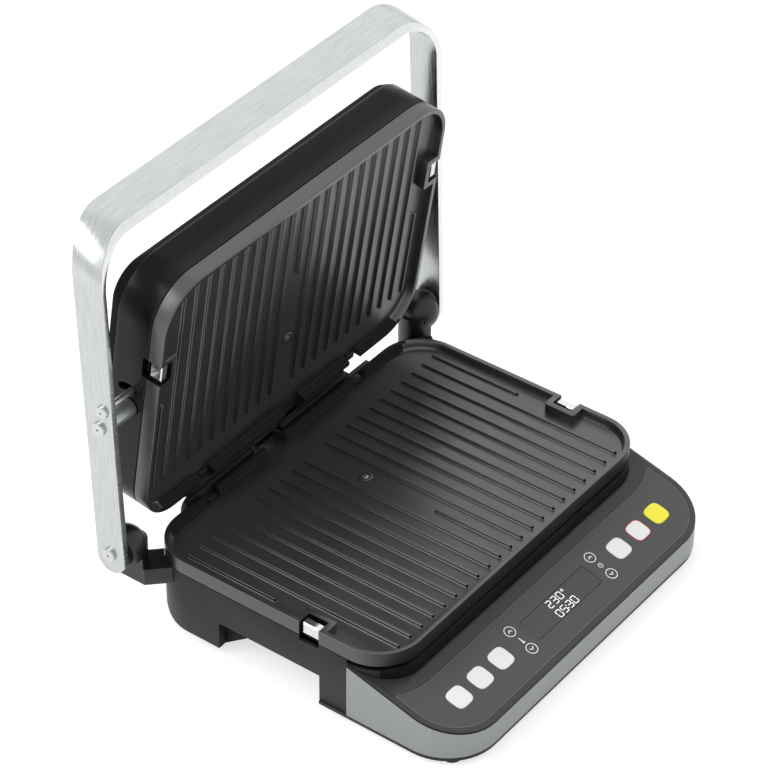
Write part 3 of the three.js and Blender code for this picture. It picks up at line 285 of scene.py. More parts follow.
# Mesh helpers
def rounded(half_x, half_y, radius, steps=10, cx=0.0, cy=0.0):
    points = []
    for sx, sy, start in ((1, -1, -90), (1, 1, 0), (-1, 1, 90), (-1, -1, 180)):
        for i in range(steps + 1):
            turn = math.radians(start + 90 * i / steps)
            x = cx + sx * (half_x - radius) + radius * math.cos(turn)
            y = cy + sy * (half_y - radius) + radius * math.sin(turn)
            points.append((x, y))
    return points


def circle(radius, steps=32, cx=0.0, cy=0.0):
    return [
        (cx + radius * math.cos(2 * math.pi * i / steps), cy + radius * math.sin(2 * math.pi * i / steps))
        for i in range(steps)
    ]


def squircle(half, power, steps=48, cx=0.0, cy=0.0):
    """A square with sides that bow out a little and wide round corners."""
    points = []
    for i in range(steps):
        c, d = math.cos(2 * math.pi * i / steps), math.sin(2 * math.pi * i / steps)
        x = math.copysign(abs(c) ** (2 / power), c)
        y = math.copysign(abs(d) ** (2 / power), d)
        points.append((cx + half * x, cy + half * y))
    return points


def loft(bm, rings, uv=False):
    """A closed body through rings with equal counts of points."""
    rows = [[bm.verts.new(p) for p in ring] for ring in rings]
    count = len(rows[0])
    layer = bm.loops.layers.uv.verify() if uv else None
    along = 0.0
    for i in range(len(rows) - 1):
        step = max((rows[i + 1][k].co - rows[i][k].co).length for k in range(count))
        around = 0.0
        for k in range(count):
            n = (k + 1) % count
            width = (rows[i][n].co - rows[i][k].co).length
            face = bm.faces.new((rows[i][k], rows[i][n], rows[i + 1][n], rows[i + 1][k]))
            if layer:
                ends = ((along, around), (along, around + width))
                after = ((along + step, around + width), (along + step, around))
                for loop, (a, b) in zip(face.loops, ends + after):
                    loop[layer].uv = (a / 1000, b / 1000)
            around += width
        along += step
    bm.faces.new(list(reversed(rows[0])))
    bm.faces.new(rows[-1])


def stack(outline_at, levels):
    """Rings at each (inset, z) level."""
    return [[(x, y, z) for x, y in outline_at(inset)] for inset, z in levels]


def edge_levels(low, high, radius, steps=2):
    """Levels of a form from low to high whose edges are rounded by radius."""
    turns = [math.pi / 2 * i / steps for i in range(steps + 1)]
    levels = [(radius * (1 - math.sin(turn)), low + radius * (1 - math.cos(turn))) for turn in turns]
    levels += [(radius * (1 - math.cos(turn)), high - radius * (1 - math.sin(turn))) for turn in turns]
    return levels


def soft_box(bm, x0, x1, y0, y1, z0, z1, corner=0.8, edge=0.4, steps=3):
    half_x, half_y = abs(x1 - x0) / 2, abs(y1 - y0) / 2
    cx, cy = (x0 + x1) / 2, (y0 + y1) / 2

    def at(inset):
        return rounded(half_x - inset, half_y - inset, max(corner - inset, 0.02), steps, cx, cy)

    loft(bm, stack(at, edge_levels(min(z0, z1), max(z0, z1), edge)))


def turned(bm, profile, place, steps=40):
    """A closed body from (radius, height) points, turned about place's Z axis."""
    rings = [[place @ Vector((x, y, z)) for x, y in circle(max(r, 0.01), steps)] for r, z in profile]
    loft(bm, rings)


def along_x(x, y, z, side):
    """A frame whose Z axis points along side times X."""
    return Matrix.Translation((x, y, z)) @ Matrix.Rotation(side * math.pi / 2, 4, "Y")


def prism(bm, points, z0, z1):
    loft(bm, [[(x, y, z0) for x, y in points], [(x, y, z1) for x, y in points]])


def band(bm, outer, inner, z0, z1):
    """A flat ring between two outlines with equal counts of points."""
    count = len(outer)
    rows = [
        [bm.verts.new((x, y, z)) for x, y in line]
        for line, z in ((outer, z0), (outer, z1), (inner, z1), (inner, z0))
    ]
    for i in range(4):
        here, after = rows[i], rows[(i + 1) % 4]
        for k in range(count):
            n = (k + 1) % count
            bm.faces.new((here[k], here[n], after[n], after[k]))


def make(name, bm, place=LOWER, material=BLACK, smooth=35):
    bmesh.ops.recalc_face_normals(bm, faces=bm.faces)
    bm.transform(WORLD @ place)
    mesh = bpy.data.meshes.new(name)
    bm.to_mesh(mesh)
    bm.free()
    obj = bpy.data.objects.new(name, mesh)
    bpy.context.scene.collection.objects.link(obj)
    mesh.materials.append(material)
    shade(obj, smooth)
    return obj


def solid(place, form, *sizes):
    """A helper for carve, made by one of the mesh functions above."""
    bm = bmesh.new()
    form(bm, *sizes)
    return make("solid", bm, place)


def shade(obj, smooth=35):
    for face in obj.data.polygons:
        face.use_smooth = True
    obj.data.set_sharp_from_angle(angle=math.radians(smooth))


def bake(obj):
    found = bpy.context.evaluated_depsgraph_get()
    mesh = bpy.data.meshes.new_from_object(obj.evaluated_get(found))
    obj.modifiers.clear()
    obj.data = mesh


def carve(obj, tools, mode="DIFFERENCE", smooth=35):
    for tool in tools:
        step = obj.modifiers.new("carve", "BOOLEAN")
        step.operation = mode
        step.object = tool
        step.solver = "EXACT"
    bpy.context.view_layer.update()
    bake(obj)
    for tool in tools:
        bpy.data.objects.remove(tool)
    shade(obj, smooth)


def paint(obj, material, place, test):
    """Gives material to the faces that pass test, which gets a face's middle and normal in place's frame."""
    obj.data.materials.append(material)
    index = len(obj.data.materials) - 1
    back = (WORLD @ place).inverted()
    turn = place.to_3x3().inverted()
    for face in obj.data.polygons:
        if test(back @ face.center, turn @ face.normal):
            face.material_index = index


def settle(obj, body, slot, *nodes):
    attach(obj, body)
    if nodes:
        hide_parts(*nodes)
    return obj


def dress(node, body, slot, material, width=0.3, segments=2):
    """A copy of a CAD node's mesh with its edges rounded."""
    bm = bmesh.new()
    bm.from_mesh(NODES[node].data)
    bmesh.ops.remove_doubles(bm, verts=bm.verts, dist=0.000002)
    bmesh.ops.dissolve_limit(bm, angle_limit=math.radians(1.5), verts=bm.verts, edges=bm.edges)
    mesh = bpy.data.meshes.new(node + "_look")
    bm.to_mesh(mesh)
    bm.free()
    for layer in [a.name for a in mesh.attributes if a.name == "custom_normal"]:
        mesh.attributes.remove(mesh.attributes[layer])
    obj = bpy.data.objects.new(node + "_look", mesh)
    bpy.context.scene.collection.objects.link(obj)
    mesh.materials.clear()
    mesh.materials.append(material)
    if width:
        rounding = obj.modifiers.new("rounding", "BEVEL")
        rounding.width = width / 1000
        rounding.segments = segments
        rounding.limit_method = "ANGLE"
        rounding.angle_limit = math.radians(35)
        rounding.use_clamp_overlap = True
        bpy.context.view_layer.update()
        bake(obj)
    shade(obj, 32)
    return settle(obj, body, slot, node)


# Cooking plates
def plate_plan(inset, steps=14):
    return rounded(HALF_W - inset, HALF_D - inset, CORNER - inset, steps)


def rib_rings(x, rear, front):
    """A rib with a round crest, round ends and a small fillet at its foot."""
    low, high = HALF_D - front, HALF_D - rear
    levels = [
        (2.4, 0.0), (1.9, 0.09), (1.55, 0.25), (1.3, 0.5), (1.15, 1.0), (1.05, 1.55), (0.94, 1.85),
        (0.74, 2.04), (0.5, 2.11), (0.05, 2.13),
    ]
    end_radius, sunk, steps = 1.55, 0.05, 8
    rings = []
    for half, z in levels:
        ring = []
        for end, start in ((low + end_radius, 180), (high - end_radius, 0)):
            for i in range(steps + 1):
                turn = math.radians(start + 180 * i / steps)
                ring.append((x + half * math.cos(turn), end + half * math.sin(turn), FLOOR - sunk + z))
        rings.append(ring)
    return rings


def pocket_shade_face(at, way):
    """Whether a face belongs to the sides or inner end of a latch pocket, which get near-black painted shade.
    """
    across, reach = abs(at.y - LATCH_Y), abs(at.x)
    in_pocket = across < POCKET_HALF + 0.2 and POCKET_IN - 3 < reach < HALF_W - 0.1 and at.z < -0.05
    return in_pocket and abs(way.z) < 0.5 and (across > POCKET_HALF - 0.5 or reach < POCKET_IN + 0.5)


def shaded_outer_wall(at, way):
    """Whether a face belongs to the outer wall at the front and the sides, beside the latch pockets, which
    gets the forward painted shade.
    """
    upright = abs(way.z) < 0.75 and way.y < 0.05 and RIM_BOTTOM - 0.1 < at.z < -0.02
    outside = at.x * way.x + at.y * way.y > 60 and (at.y < -HALF_D + 1 or math.hypot(at.x, at.y) > 140)
    return upright and outside and abs(at.y - LATCH_Y) >= POCKET_HALF + 0.2


def cooking_plate(prefix, body, place):
    levels = [
        (8.0, FLOOR_BOTTOM), (5.0, FLOOR_BOTTOM), (WALL, FLOOR_BOTTOM - 0.4), (WALL, RIM_BOTTOM),
        (0.5, RIM_BOTTOM), (0.0, RIM_BOTTOM + 0.4), (0.0, -0.5), (0.08, -0.25), (0.25, -0.08), (0.5, 0.0),
        (3.3, 0.0), (3.6, -0.1), (3.8, -0.4), (4.3, -3.6), (4.7, -5.2), (5.4, -6.1), (6.4, FLOOR),
    ]
    bm = bmesh.new()
    loft(bm, stack(plate_plan, levels))
    obj = make(prefix + "_plate_body", bm, place, COATING)
    probe = Matrix.Translation((0, PROBE_Y, 0))
    near, far = LATCH_Y - POCKET_HALF, LATCH_Y + POCKET_HALF
    blocks, cuts = [], []
    for side in (-1, 1):
        inner, outer, clip = side * POCKET_IN, side * (HALF_W + 3), side * CLIP_X
        blocks.append(solid(
            place, soft_box, inner - side * 4.2, side * (HALF_W - 2.5), near - POCKET_WALL, far + POCKET_WALL,
            FLOOR_BOTTOM, 0, 2.2, 0.5,
        ))
        cuts += [
            solid(place, soft_box, inner, outer, near, far, -20, OVER, 1.0, 0.2),
            solid(
                place, soft_box, inner - side * CATCH_DEEP, outer, LATCH_Y - CATCH_HALF, LATCH_Y + CATCH_HALF,
                CATCH_LOW, CATCH_HIGH, 0.3, 0.2,
            ),
            solid(
                place, soft_box, clip - CLIP_NOTCH, clip + CLIP_NOTCH, HALF_D - CLIP_NOTCH, HALF_D + 3,
                -6, OVER, 1.5, 0.5,
            ),
        ]
    blocks.append(solid(
        place, soft_box, SPOUT_LEFT, SPOUT_RIGHT, HALF_D - 3, HALF_D + SPOUT_REACH, FLOOR - SPOUT_WALL, -2,
        1.5, 0.4,
    ))
    blocks.append(solid(place, turned, [(5, -8), (5, -5.9), (4.7, -5.65), (4.2, -5.6)], probe))
    carve(obj, blocks, "UNION")
    cuts.append(solid(
        place, soft_box, SPOUT_LEFT + SPOUT_WALL, SPOUT_RIGHT - SPOUT_WALL, HALF_D - 9, HALF_D + SPOUT_CUT,
        FLOOR, OVER, 1.0, 0.3,
    ))
    cuts.append(solid(place, turned, [(2.8, -16), (2.8, -3)], probe))
    carve(obj, cuts)
    # The latch pockets' sides and inner ends get near-black painted shade
    paint(obj, SHADE_BLACK, place, pocket_shade_face)
    # The plate's rear band by the hinge gets the matt painted shade
    paint(obj, SHADE_MATT, place, lambda at, way: at.y > HALF_D - 7.5 and at.z > FLOOR + 0.1)
    if prefix == "lower":
        paint(obj, CAST_SIDE_SHADE, place, shaded_outer_wall)
    bm = bmesh.new()
    for k in range(-LAST_RIB, LAST_RIB + 1):
        middle, outermost = k == 0, abs(k) == LAST_RIB
        rear = 131.5 if middle else 27.5
        front = 103 if outermost else 195
        loft(bm, rib_rings(k * RIB_PITCH, rear, front))
    ribs = make(prefix + "_plate_ribs", bm, place, COATING, 50)
    # The front ends of the lower ribs get near-black paint, a painted dark reflection
    if prefix == "lower":
        paint(ribs, SHADE_BLACK, place, lambda at, way: way.y < -0.3 and way.z < 0.8 and at.z > FLOOR + 0.2)
    settle(obj, body, "cast_coating", prefix + "_plate")
    settle(ribs, body, "cast_coating")


cooking_plate("lower", "base", LOWER)
cooking_plate("upper", "lid", UPPER)


# Handle: one bent strap whose grip is swept to the back
STRAP = [
    (254.4, 36.8, 0.0, 11.5, 13.0, 22.9),
    (248.1, 36.1, 0.0, -11.5, -11.2, -2.4),
    (241.9, 30.2, 5.1, -11.5, -10.4, -6.1),
    (249.4, 31.7, 5.1, 11.5, 13.0, 24.1),
]


def strap_corners(turn, along):
    """One section of the strap: at along, from 0 to 1 on the straight arm, or at turn in the bend.

    A row of STRAP is one corner: its reach at the grip, its bend radius and its inset from the arm's face,
    then its offset across the arm at the root, at the bend and at the grip.
    """
    arm_start = 30
    corners = []
    for top, bend, inset, at_root, at_bend, at_top in STRAP:
        straight = top - bend
        x = ARM_FACE - inset - bend + bend * math.cos(turn)
        y = -(arm_start + (straight - arm_start) * along + bend * math.sin(turn))
        across = at_root + (at_bend - at_root) * along + (at_top - at_bend) * math.sin(turn) ** 2
        corners.append(Vector((x, y, across)))
    return corners


def soften(corners, radius):
    """Rounds the corners of one section."""
    points = []
    for i, here in enumerate(corners):
        before, after = corners[i - 1] - here, corners[(i + 1) % 4] - here
        r = min(radius, before.length * 0.4, after.length * 0.4)
        start, end = here + before.normalized() * r, here + after.normalized() * r
        points += [start, (start + end) * 0.25 + here * 0.5, end]
    return points


def handle():
    root_steps, arm_steps, bend_steps, grip_steps = 12, 8, 24, 12
    root_y = 3.6
    outer, inner = ARM_FACE, ARM_FACE - ARM_THICK
    right = []
    for i in range(root_steps + 1):
        turn = math.pi / 2 * (1 - i / root_steps)
        half = max(ARM_HALF * math.cos(turn), 0.15)
        y = root_y + ARM_HALF * math.sin(turn)
        section = ((outer, half), (outer, -half), (inner, -half), (inner, half))
        right.append([Vector((x, y, z)) for x, z in section])
    right += [strap_corners(0, i / arm_steps) for i in range(arm_steps + 1)]
    right += [strap_corners(math.pi / 2 * i / bend_steps, 1) for i in range(1, bend_steps + 1)]
    left = [[Vector((-p.x, p.y, p.z)) for p in ring] for ring in reversed(right)]
    middle = [
        [p + (q - p) * i / grip_steps for p, q in zip(right[-1], left[0])] for i in range(1, grip_steps)
    ]
    bm = bmesh.new()
    loft(bm, [soften(ring, 0.7) for ring in right + middle + left], uv=True)
    obj = make("handle_strap", bm, HANDLE, BRUSHED, 40)
    paint(obj, EDGE_METAL, HANDLE, lambda at, way: abs(way.z) > 0.6)
    settle(obj, "handle", "brushed_aluminium", "handle")


handle()


# Screws on the handle's arms: a flat head with a small round socket
def arm_screw(name, side, radius, end, y, z, node):
    bm = bmesh.new()
    seat, top = ARM_FACE + 0.05, ARM_FACE + 2.7
    profile = [
        (2.4, end), (2.4, seat), (radius - 0.15, seat), (radius, seat + 0.15), (radius, top - 0.5),
        (radius - 0.12, top - 0.22), (radius - 0.4, top - 0.05), (radius - 0.8, top), (0.85, top),
        (0.72, top - 0.1), (0.7, top - 1.0),
    ]
    place = along_x(0, y, z, side)
    turned(bm, profile, place)
    obj = make(name, bm, HANDLE, SATIN)
    # The socket inside the head is painted near-black shade
    floor, reach = top - 0.15, 0.75
    paint(obj, SHADE_BLACK, HANDLE, lambda at, way: abs(at.x) < floor and math.hypot(at.y - y, at.z - z) < reach)
    settle(obj, "handle", "chrome", node)


stop_y = -(PIVOT + STOP * math.cos(STOP_TURN))
stop_z = STOP * math.sin(STOP_TURN)
for side, label in ((-1, "left"), (1, "right")):
    arm_screw("hub_screw_head_" + label, side, 5.1, 154, 0, 0, "hub_screw_" + label)
    arm_screw("pivot_screw_head_" + label, side, 5.1, 150, -PIVOT, 0, "lid_pivot_screw_" + label)
    arm_screw("stop_pin_head_" + label, side, 4.6, 145, stop_y, stop_z, "tilt_stop_pin_" + label)


# Hinge brackets: a ball hub, its half-oval pedestal and a strut
def bracket(side, label):
    ball_x, ball_z, radius, flat = 164.5, 5.0, 15, 171
    bm = bmesh.new()
    bmesh.ops.create_uvsphere(bm, u_segments=64, v_segments=40, radius=radius)
    bmesh.ops.rotate(bm, verts=bm.verts, cent=(0, 0, 0), matrix=Matrix.Rotation(math.pi / 2, 3, "Y"))
    bmesh.ops.translate(bm, verts=bm.verts, vec=(side * ball_x, HUB.y, ball_z))
    cut = bmesh.ops.bisect_plane(
        bm, geom=bm.verts[:] + bm.edges[:] + bm.faces[:], plane_co=(side * flat, 0, 0),
        plane_no=(side, 0, 0), clear_outer=True,
    )
    bmesh.ops.holes_fill(bm, edges=[e for e in cut["geom_cut"] if isinstance(e, bmesh.types.BMEdge)])
    ball = make("hub_ball_" + label, bm, LOWER, GLOSS)
    outer_x, half, steps = 162, 12.9, 32
    outline = [(side * outer_x, HUB.y - half), (side * outer_x, HUB.y + half)]
    for i in range(1, steps):
        turn = math.pi / 2 - math.pi * i / steps
        outline.append((side * (outer_x - radius * math.cos(turn)), HUB.y + half * math.sin(turn)))
    low, high, strut_half, strut_long, strut_top = -25, 6.5, 10.5, 45, -11.5
    bm = bmesh.new()
    prism(bm, outline, low, high)
    foot = make("hub_pedestal_" + label, bm, LOWER, GLOSS)
    turn = Matrix.Rotation(side * -math.pi / 4, 4, "Z")
    way = Matrix.Translation((side * (54.75 + HUB.y), HUB.y, 0)) @ turn
    strut = solid(way, soft_box, -strut_half, strut_half, -strut_long, 0, low, strut_top, 1.0, 0.5)
    carve(foot, [strut], "UNION")
    carve(foot, [
        solid(LOWER, prism, plate_plan(-0.3), -40, -9.5),
        solid(LOWER, soft_box, side * outer_x, side * 260, 40, 170, -60, 60, 0.5, 0.2),
    ])
    settle(ball, "base", "gloss_black", "hinge_bracket_" + label)
    settle(foot, "base", "gloss_black")
    low, high = flat + 0.3, flat + 2.6
    bm = bmesh.new()
    turned(
        bm, [(5, low), (8.6, low), (9, low + 0.4), (9, high - 0.4), (8.6, high), (5, high)],
        along_x(0, HUB.y, HUB.z, side),
    )
    settle(make("hub_washer_disc_" + label, bm, LOWER, SHEET), "base", "sheet_metal", "hub_washer_" + label)


bracket(-1, "left")
bracket(1, "right")


# Lid shell: straight sides, a soft crease and a drawn-in back with tighter corners
def lid_rings(levels, wall=0.0):
    rings = []
    for side, end, radius, z in levels:
        outline = rounded(HALF_W - side - wall, HALF_D - end - wall, max(radius - wall, 1.0), 14)
        rings.append([(x, y, z) for x, y in outline])
    return rings


def slot_outline(steps=16, round_steps=8):
    """The stop pin's curved slot, seen along X from the lid's pivot."""
    turns = [math.radians(SLOT_START + SLOT_SWEEP * i / steps) for i in range(steps + 1)]
    outer, inner = STOP + SLOT_HALF, STOP - SLOT_HALF
    ends = []
    for turn, start in ((turns[-1], 0), (turns[0], math.pi)):
        a, b = STOP * math.cos(turn), STOP * math.sin(turn)
        ways = [turn + start + math.pi * i / round_steps for i in range(1, round_steps)]
        ends.append([(a + SLOT_HALF * math.cos(way), b + SLOT_HALF * math.sin(way)) for way in ways])
    far_side = [(outer * math.cos(turn), outer * math.sin(turn)) for turn in turns]
    near_side = [(inner * math.cos(turn), inner * math.sin(turn)) for turn in reversed(turns)]
    return far_side + ends[0] + near_side + ends[1]


def lid_shell():
    levels = [
        (0.3, 0.3, 32.7, -11.7), (0.0, 0.0, 33.0, -12.1), (0.0, 0.0, 33.0, -36.9), (0.1, 0.15, 32.8, -37.9),
        (0.35, 0.6, 32.2, -38.9), (0.8, 1.5, 31.0, -40.1), (2.3, 4.2, 27.6, -43.0), (3.8, 6.9, 24.0, -45.9),
        (4.5, 8.1, 22.2, -47.2), (5.2, 9.1, 21.0, -47.9), (6.3, 10.2, 20.0, -48.25),
        (7.8, 11.7, 18.5, -48.3),
    ]
    bm = bmesh.new()
    loft(bm, lid_rings(levels))
    obj = make("lid_cover", bm, UPPER, LID_BLACK, 25)
    hollow = [(0.0, 0.0, 33.0, 2), (0.0, 0.0, 33.0, -38.9), (4.7, 8.5, 21.5, -45.8)]
    thick, gap = 2.5, 0.3
    cuts = [solid(UPPER, loft, lid_rings(hollow, thick))]
    pivot_y = HUB.y - PIVOT * math.cos(math.radians(PIVOT_DEGREES))
    pivot_z = CLOSED_GAP - HUB.z - PIVOT * math.sin(math.radians(PIVOT_DEGREES))
    inner, outer, bore = 145.5, 153, 5.1
    for side in (-1, 1):
        near, far = side * inner, side * outer
        rings = [[(x, pivot_y - a, pivot_z - b) for a, b in slot_outline()] for x in (near, far)]
        cuts += [
            solid(
                UPPER, soft_box, near, far, LATCH_Y - POCKET_HALF, LATCH_Y + POCKET_HALF, -15.3, OVER,
                1.0, 0.2,
            ),
            solid(UPPER, loft, rings),
            solid(UPPER, turned, [(bore, inner), (bore, outer)], along_x(0, pivot_y, pivot_z, side)),
        ]
    cuts.append(solid(
        UPPER, soft_box, SPOUT_LEFT - gap, SPOUT_RIGHT + gap, HALF_D - 5.5, HALF_D + 3.5, -12.3, OVER,
        1.0, 0.3,
    ))
    carve(obj, cuts, smooth=25)
    paint(obj, LID_BACK, UPPER, lambda at, way: at.z < -38.5 and -0.97 < way.z < 0)
    settle(obj, "lid", "black_plastic", "lid_shell")
    profile = [(4.8, 144.2), (4.8, 150.3), (6.6, 150.3), (7.0, 150.7), (7.0, 173.2), (6.6, 173.6)]
    for side, label in ((1, "left"), (-1, "right")):
        bm = bmesh.new()
        turned(bm, profile, along_x(0, pivot_y, pivot_z, side))
        boss = make("lid_boss_" + label, bm, UPPER, SHEET)
        paint(boss, GLOSS, UPPER, lambda at, way: abs(at.x) < 160)
        settle(boss, "lid", "sheet_metal", "lid_trunnion_" + label)


lid_shell()


# Keys on the control panel, with a crowned top and a soft edge
def key_outline(x, half):
    return squircle(half, 3.6, 56, x, ITEM_ROW)


def key_cap(index, x):
    name = "key_%d" % (index + 1)
    yellow = index == YELLOW_KEY
    slot = "key_yellow" if yellow else "key_white"
    levels = [(0, -1.2), (0, 0.12), (0.08, 0.32), (0.3, 0.48), (0.7, 0.55), (2.2, 0.58), (4.6, 0.6)]
    bm = bmesh.new()
    loft(bm, stack(lambda inset: key_outline(x, KEY_HALF - inset), levels))
    turned(bm, [(3, -6.3), (3, -1.1)], Matrix.Translation((x, ITEM_ROW, 0)), 24)
    settle(make(name + "_cap", bm, PANEL, KEY_YELLOW if yellow else KEY_WHITE), name, slot, name)
    if index == LINED_KEY:
        bm = bmesh.new()
        band(bm, key_outline(x, KEY_LINE[0]), key_outline(x, KEY_LINE[1]), 0.1, 0.585)
        settle(make(name + "_outline", bm, PANEL, KEY_RED), name, slot)


for i, x in enumerate(KEYS):
    key_cap(i, x)


# Overlay with a light line along its border, a painted edge highlight
def overlay_line(inset, steps=16):
    half, front, rear, horn = 147.2 - inset, 4.3 + inset, 50.4 - inset, 57.8 - inset
    corner = 34.7 - inset
    bend, lip, tip = 117.0, 0.9, 1.8
    points = []

    def arc(cx, cy, start):
        for i in range(steps + 1):
            turn = math.radians(start + 90 * i / steps)
            points.append((cx + corner * math.cos(turn), cy + corner * math.sin(turn)))

    def curve(start, middle, end, count):
        for i in range(1, count + 1):
            t = i / count
            a, b, c = (1 - t) ** 2, 2 * t * (1 - t), t * t
            points.append(tuple(a * start[k] + b * middle[k] + c * end[k] for k in (0, 1)))

    arc(half - corner, front + corner, -90)
    points.append((half, horn - lip))
    curve((half, horn - lip), (half, horn), (half - tip, horn), 4)
    curve((half - tip, horn), ((half + bend) / 2, rear), (bend, rear), 16)
    points.append((-bend, rear))
    curve((-bend, rear), (-(half + bend) / 2, rear), (-half + tip, horn), 16)
    curve((-half + tip, horn), (-half, horn), (-half, horn - lip), 4)
    arc(-half + corner, front + corner, 180)
    return points


def key_holes(low):
    return [solid(PANEL, prism, key_outline(x, KEY_HOLE), low, 3) for x in KEYS]


def overlay():
    bm = bmesh.new()
    loft(bm, stack(overlay_line, [(0, -0.9), (0, -0.12), (0.12, 0)]))
    obj = make("overlay_sheet", bm, PANEL, OVERLAY, 30)
    window = solid(PANEL, prism, rounded(WINDOW_X, WINDOW_Y, 1.5, 6, 0, ITEM_ROW), -3, 3)
    carve(obj, key_holes(-3) + [window], smooth=30)
    settle(obj, "base", "panel_grey", "panel_overlay")
    bm = bmesh.new()
    # The light line along the border is a painted highlight of the overlay's edge
    band(bm, overlay_line(0.16), overlay_line(0.55), PRINT_LOW, 0.02)
    settle(make("overlay_edge_highlight", bm, PANEL, BORDER_HIGHLIGHT), "base", "panel_grey")


overlay()


# Display window with two rows of plain digits, each made of straight bars
BARS = {"0": "abcdef", "2": "abged", "3": "abgcd", "5": "afgcd"}


def digit(bm, char, x, y, z0, z1):
    half, gap = DIGIT_HALF_LINE, 0.12
    mid, top = y + DIGIT_TALL / 2, y + DIGIT_TALL
    left, right = x + half, x + DIGIT_WIDE - half
    lines = {
        "a": ((left, top - half), (right, top - half)), "g": ((left, mid), (right, mid)),
        "d": ((left, y + half), (right, y + half)), "f": ((left, mid), (left, top - half)),
        "b": ((right, mid), (right, top - half)), "e": ((left, y + half), (left, mid)),
        "c": ((right, y + half), (right, mid)),
    }
    for key in BARS[char]:
        (ax, ay), (bx, by) = lines[key]
        if ay == by:
            ax, bx = ax + gap, bx - gap
            points = [
                (ax, ay), (ax + half, ay - half), (bx - half, ay - half), (bx, ay), (bx - half, ay + half),
                (ax + half, ay + half),
            ]
        else:
            ay, by = ay + gap, by - gap
            points = [
                (ax, ay), (ax + half, ay + half), (ax + half, by - half), (ax, by), (ax - half, by - half),
                (ax - half, ay + half),
            ]
        prism(bm, points, z0, z1)


def display():
    def lens(inset):
        return rounded(WINDOW_X - gap - inset, WINDOW_Y - gap - inset, 1.4, 5, 0, ITEM_ROW)

    gap = 0.3
    bm = bmesh.new()
    loft(bm, stack(lens, [(0, -6.0), (0, -0.25), (0.15, -0.1)]))
    soft_box(bm, -WINDOW_X, WINDOW_X, ITEM_ROW - WINDOW_Y, ITEM_ROW + WINDOW_Y, -9.1, -5.8, 1.0, 0.3)
    settle(make("display_window", bm, PANEL, DISPLAY), "base", "display_black", "display_module")
    low, high = -0.12, 0.0
    bm = bmesh.new()
    for y, row in (
        (29.4, (("2", -9.6), ("3", -3.85), ("0", 1.9))),
        (20.3, (("0", -10.5), ("5", -4.9), ("3", 1.3), ("0", 6.9))),
    ):
        for char, x in row:
            digit(bm, char, x, y, low, high)
    for y in (21.9, 24.6):
        prism(bm, rounded(0.4, 0.4, 0.1, 2, 0.45, y), low, high)
    band(bm, circle(1.1, 20, 8.9, 34.3), circle(0.65, 20, 8.9, 34.3), low, high)
    settle(make("display_digits", bm, PANEL, DIGIT), "base", "display_black")


display()


# White print, which glows a little as painted light: ringed arrows, a thermometer and a clock
def stroke(bm, points, width):
    """A printed line through the points, with round ends."""
    for (ax, ay), (bx, by) in zip(points, points[1:]):
        way = math.atan2(by - ay, bx - ax)
        outline = []
        for cx, cy, start in ((bx, by, -90), (ax, ay, 90)):
            for i in range(7):
                turn = way + math.radians(start + 180 * i / 6)
                outline.append((cx + width / 2 * math.cos(turn), cy + width / 2 * math.sin(turn)))
        prism(bm, outline, PRINT_LOW, PRINT_HIGH)


def ring(bm, outer, inner, steps, x, y):
    band(bm, circle(outer, steps, x, y), circle(inner, steps, x, y), PRINT_LOW, PRINT_HIGH)


def prints():
    left, right = -46.9, 47.2
    bm = bmesh.new()
    for x in (left, right):
        for y, up in ((37.5, 1), (18.9, -1)):
            ring(bm, 4.35, 3.8, 40, x, y)
            arm, tip = 1.5, y + up * 0.95
            stroke(bm, [(x - arm, tip - up * arm), (x, tip), (x + arm, tip - up * arm)], 0.7)
    stroke(bm, [(left + 0.1, 29.9), (left, 26.4)], 0.75)
    prism(bm, circle(0.95, 20, left, 25.9), PRINT_LOW, PRINT_HIGH)
    ring(bm, 1.95, 1.55, 28, right, 28.3)
    stroke(bm, [(right, 29.4), (right, 28.2), (right + 0.8, 28.2)], 0.3)
    settle(make("panel_print", bm, PANEL, PRINT), "base", "key_white")


prints()


# Latches: a bent chrome tab with crisp edges, over its carriage, which is given near-black painted shade
TAB_IN, TAB_OUT = 142.2, 148.0
PEG_IN, FRAME_IN, FRAME_OUT = 137.4, 124, 144.5
FRAME_LOW, FRAME_HIGH = -19.2, -16.2


def latch_tab(side):
    """The rings of a latch's tab: a cap and the wall that hangs from it."""
    inner, outer = side * TAB_IN, side * TAB_OUT
    low, high = -9.8, -1.1
    profile = [
        (inner, high - 2.2), (inner, high - 0.35), (inner + side * 0.35, high), (outer - side * 0.8, high),
        (outer, high - 0.8), (outer, low + 0.3), (outer - side * 0.3, low), (outer - side * 1.4, low),
        (outer - side * 1.4, high - 2.2),
    ]
    count = len(profile)
    middle = Vector((sum(p[0] for p in profile) / count, sum(p[1] for p in profile) / count))
    rings = []
    for shrink, y in ((0.3, -7.0), (0.15, -6.85), (0.0, -6.4), (0.0, 6.4), (0.15, 6.85), (0.3, 7.0)):
        steps = [(middle - Vector(point)).normalized() * shrink for point in profile]
        rings.append([(x + step.x, LATCH_Y + y, z + step.y) for (x, z), step in zip(profile, steps)])
    return rings


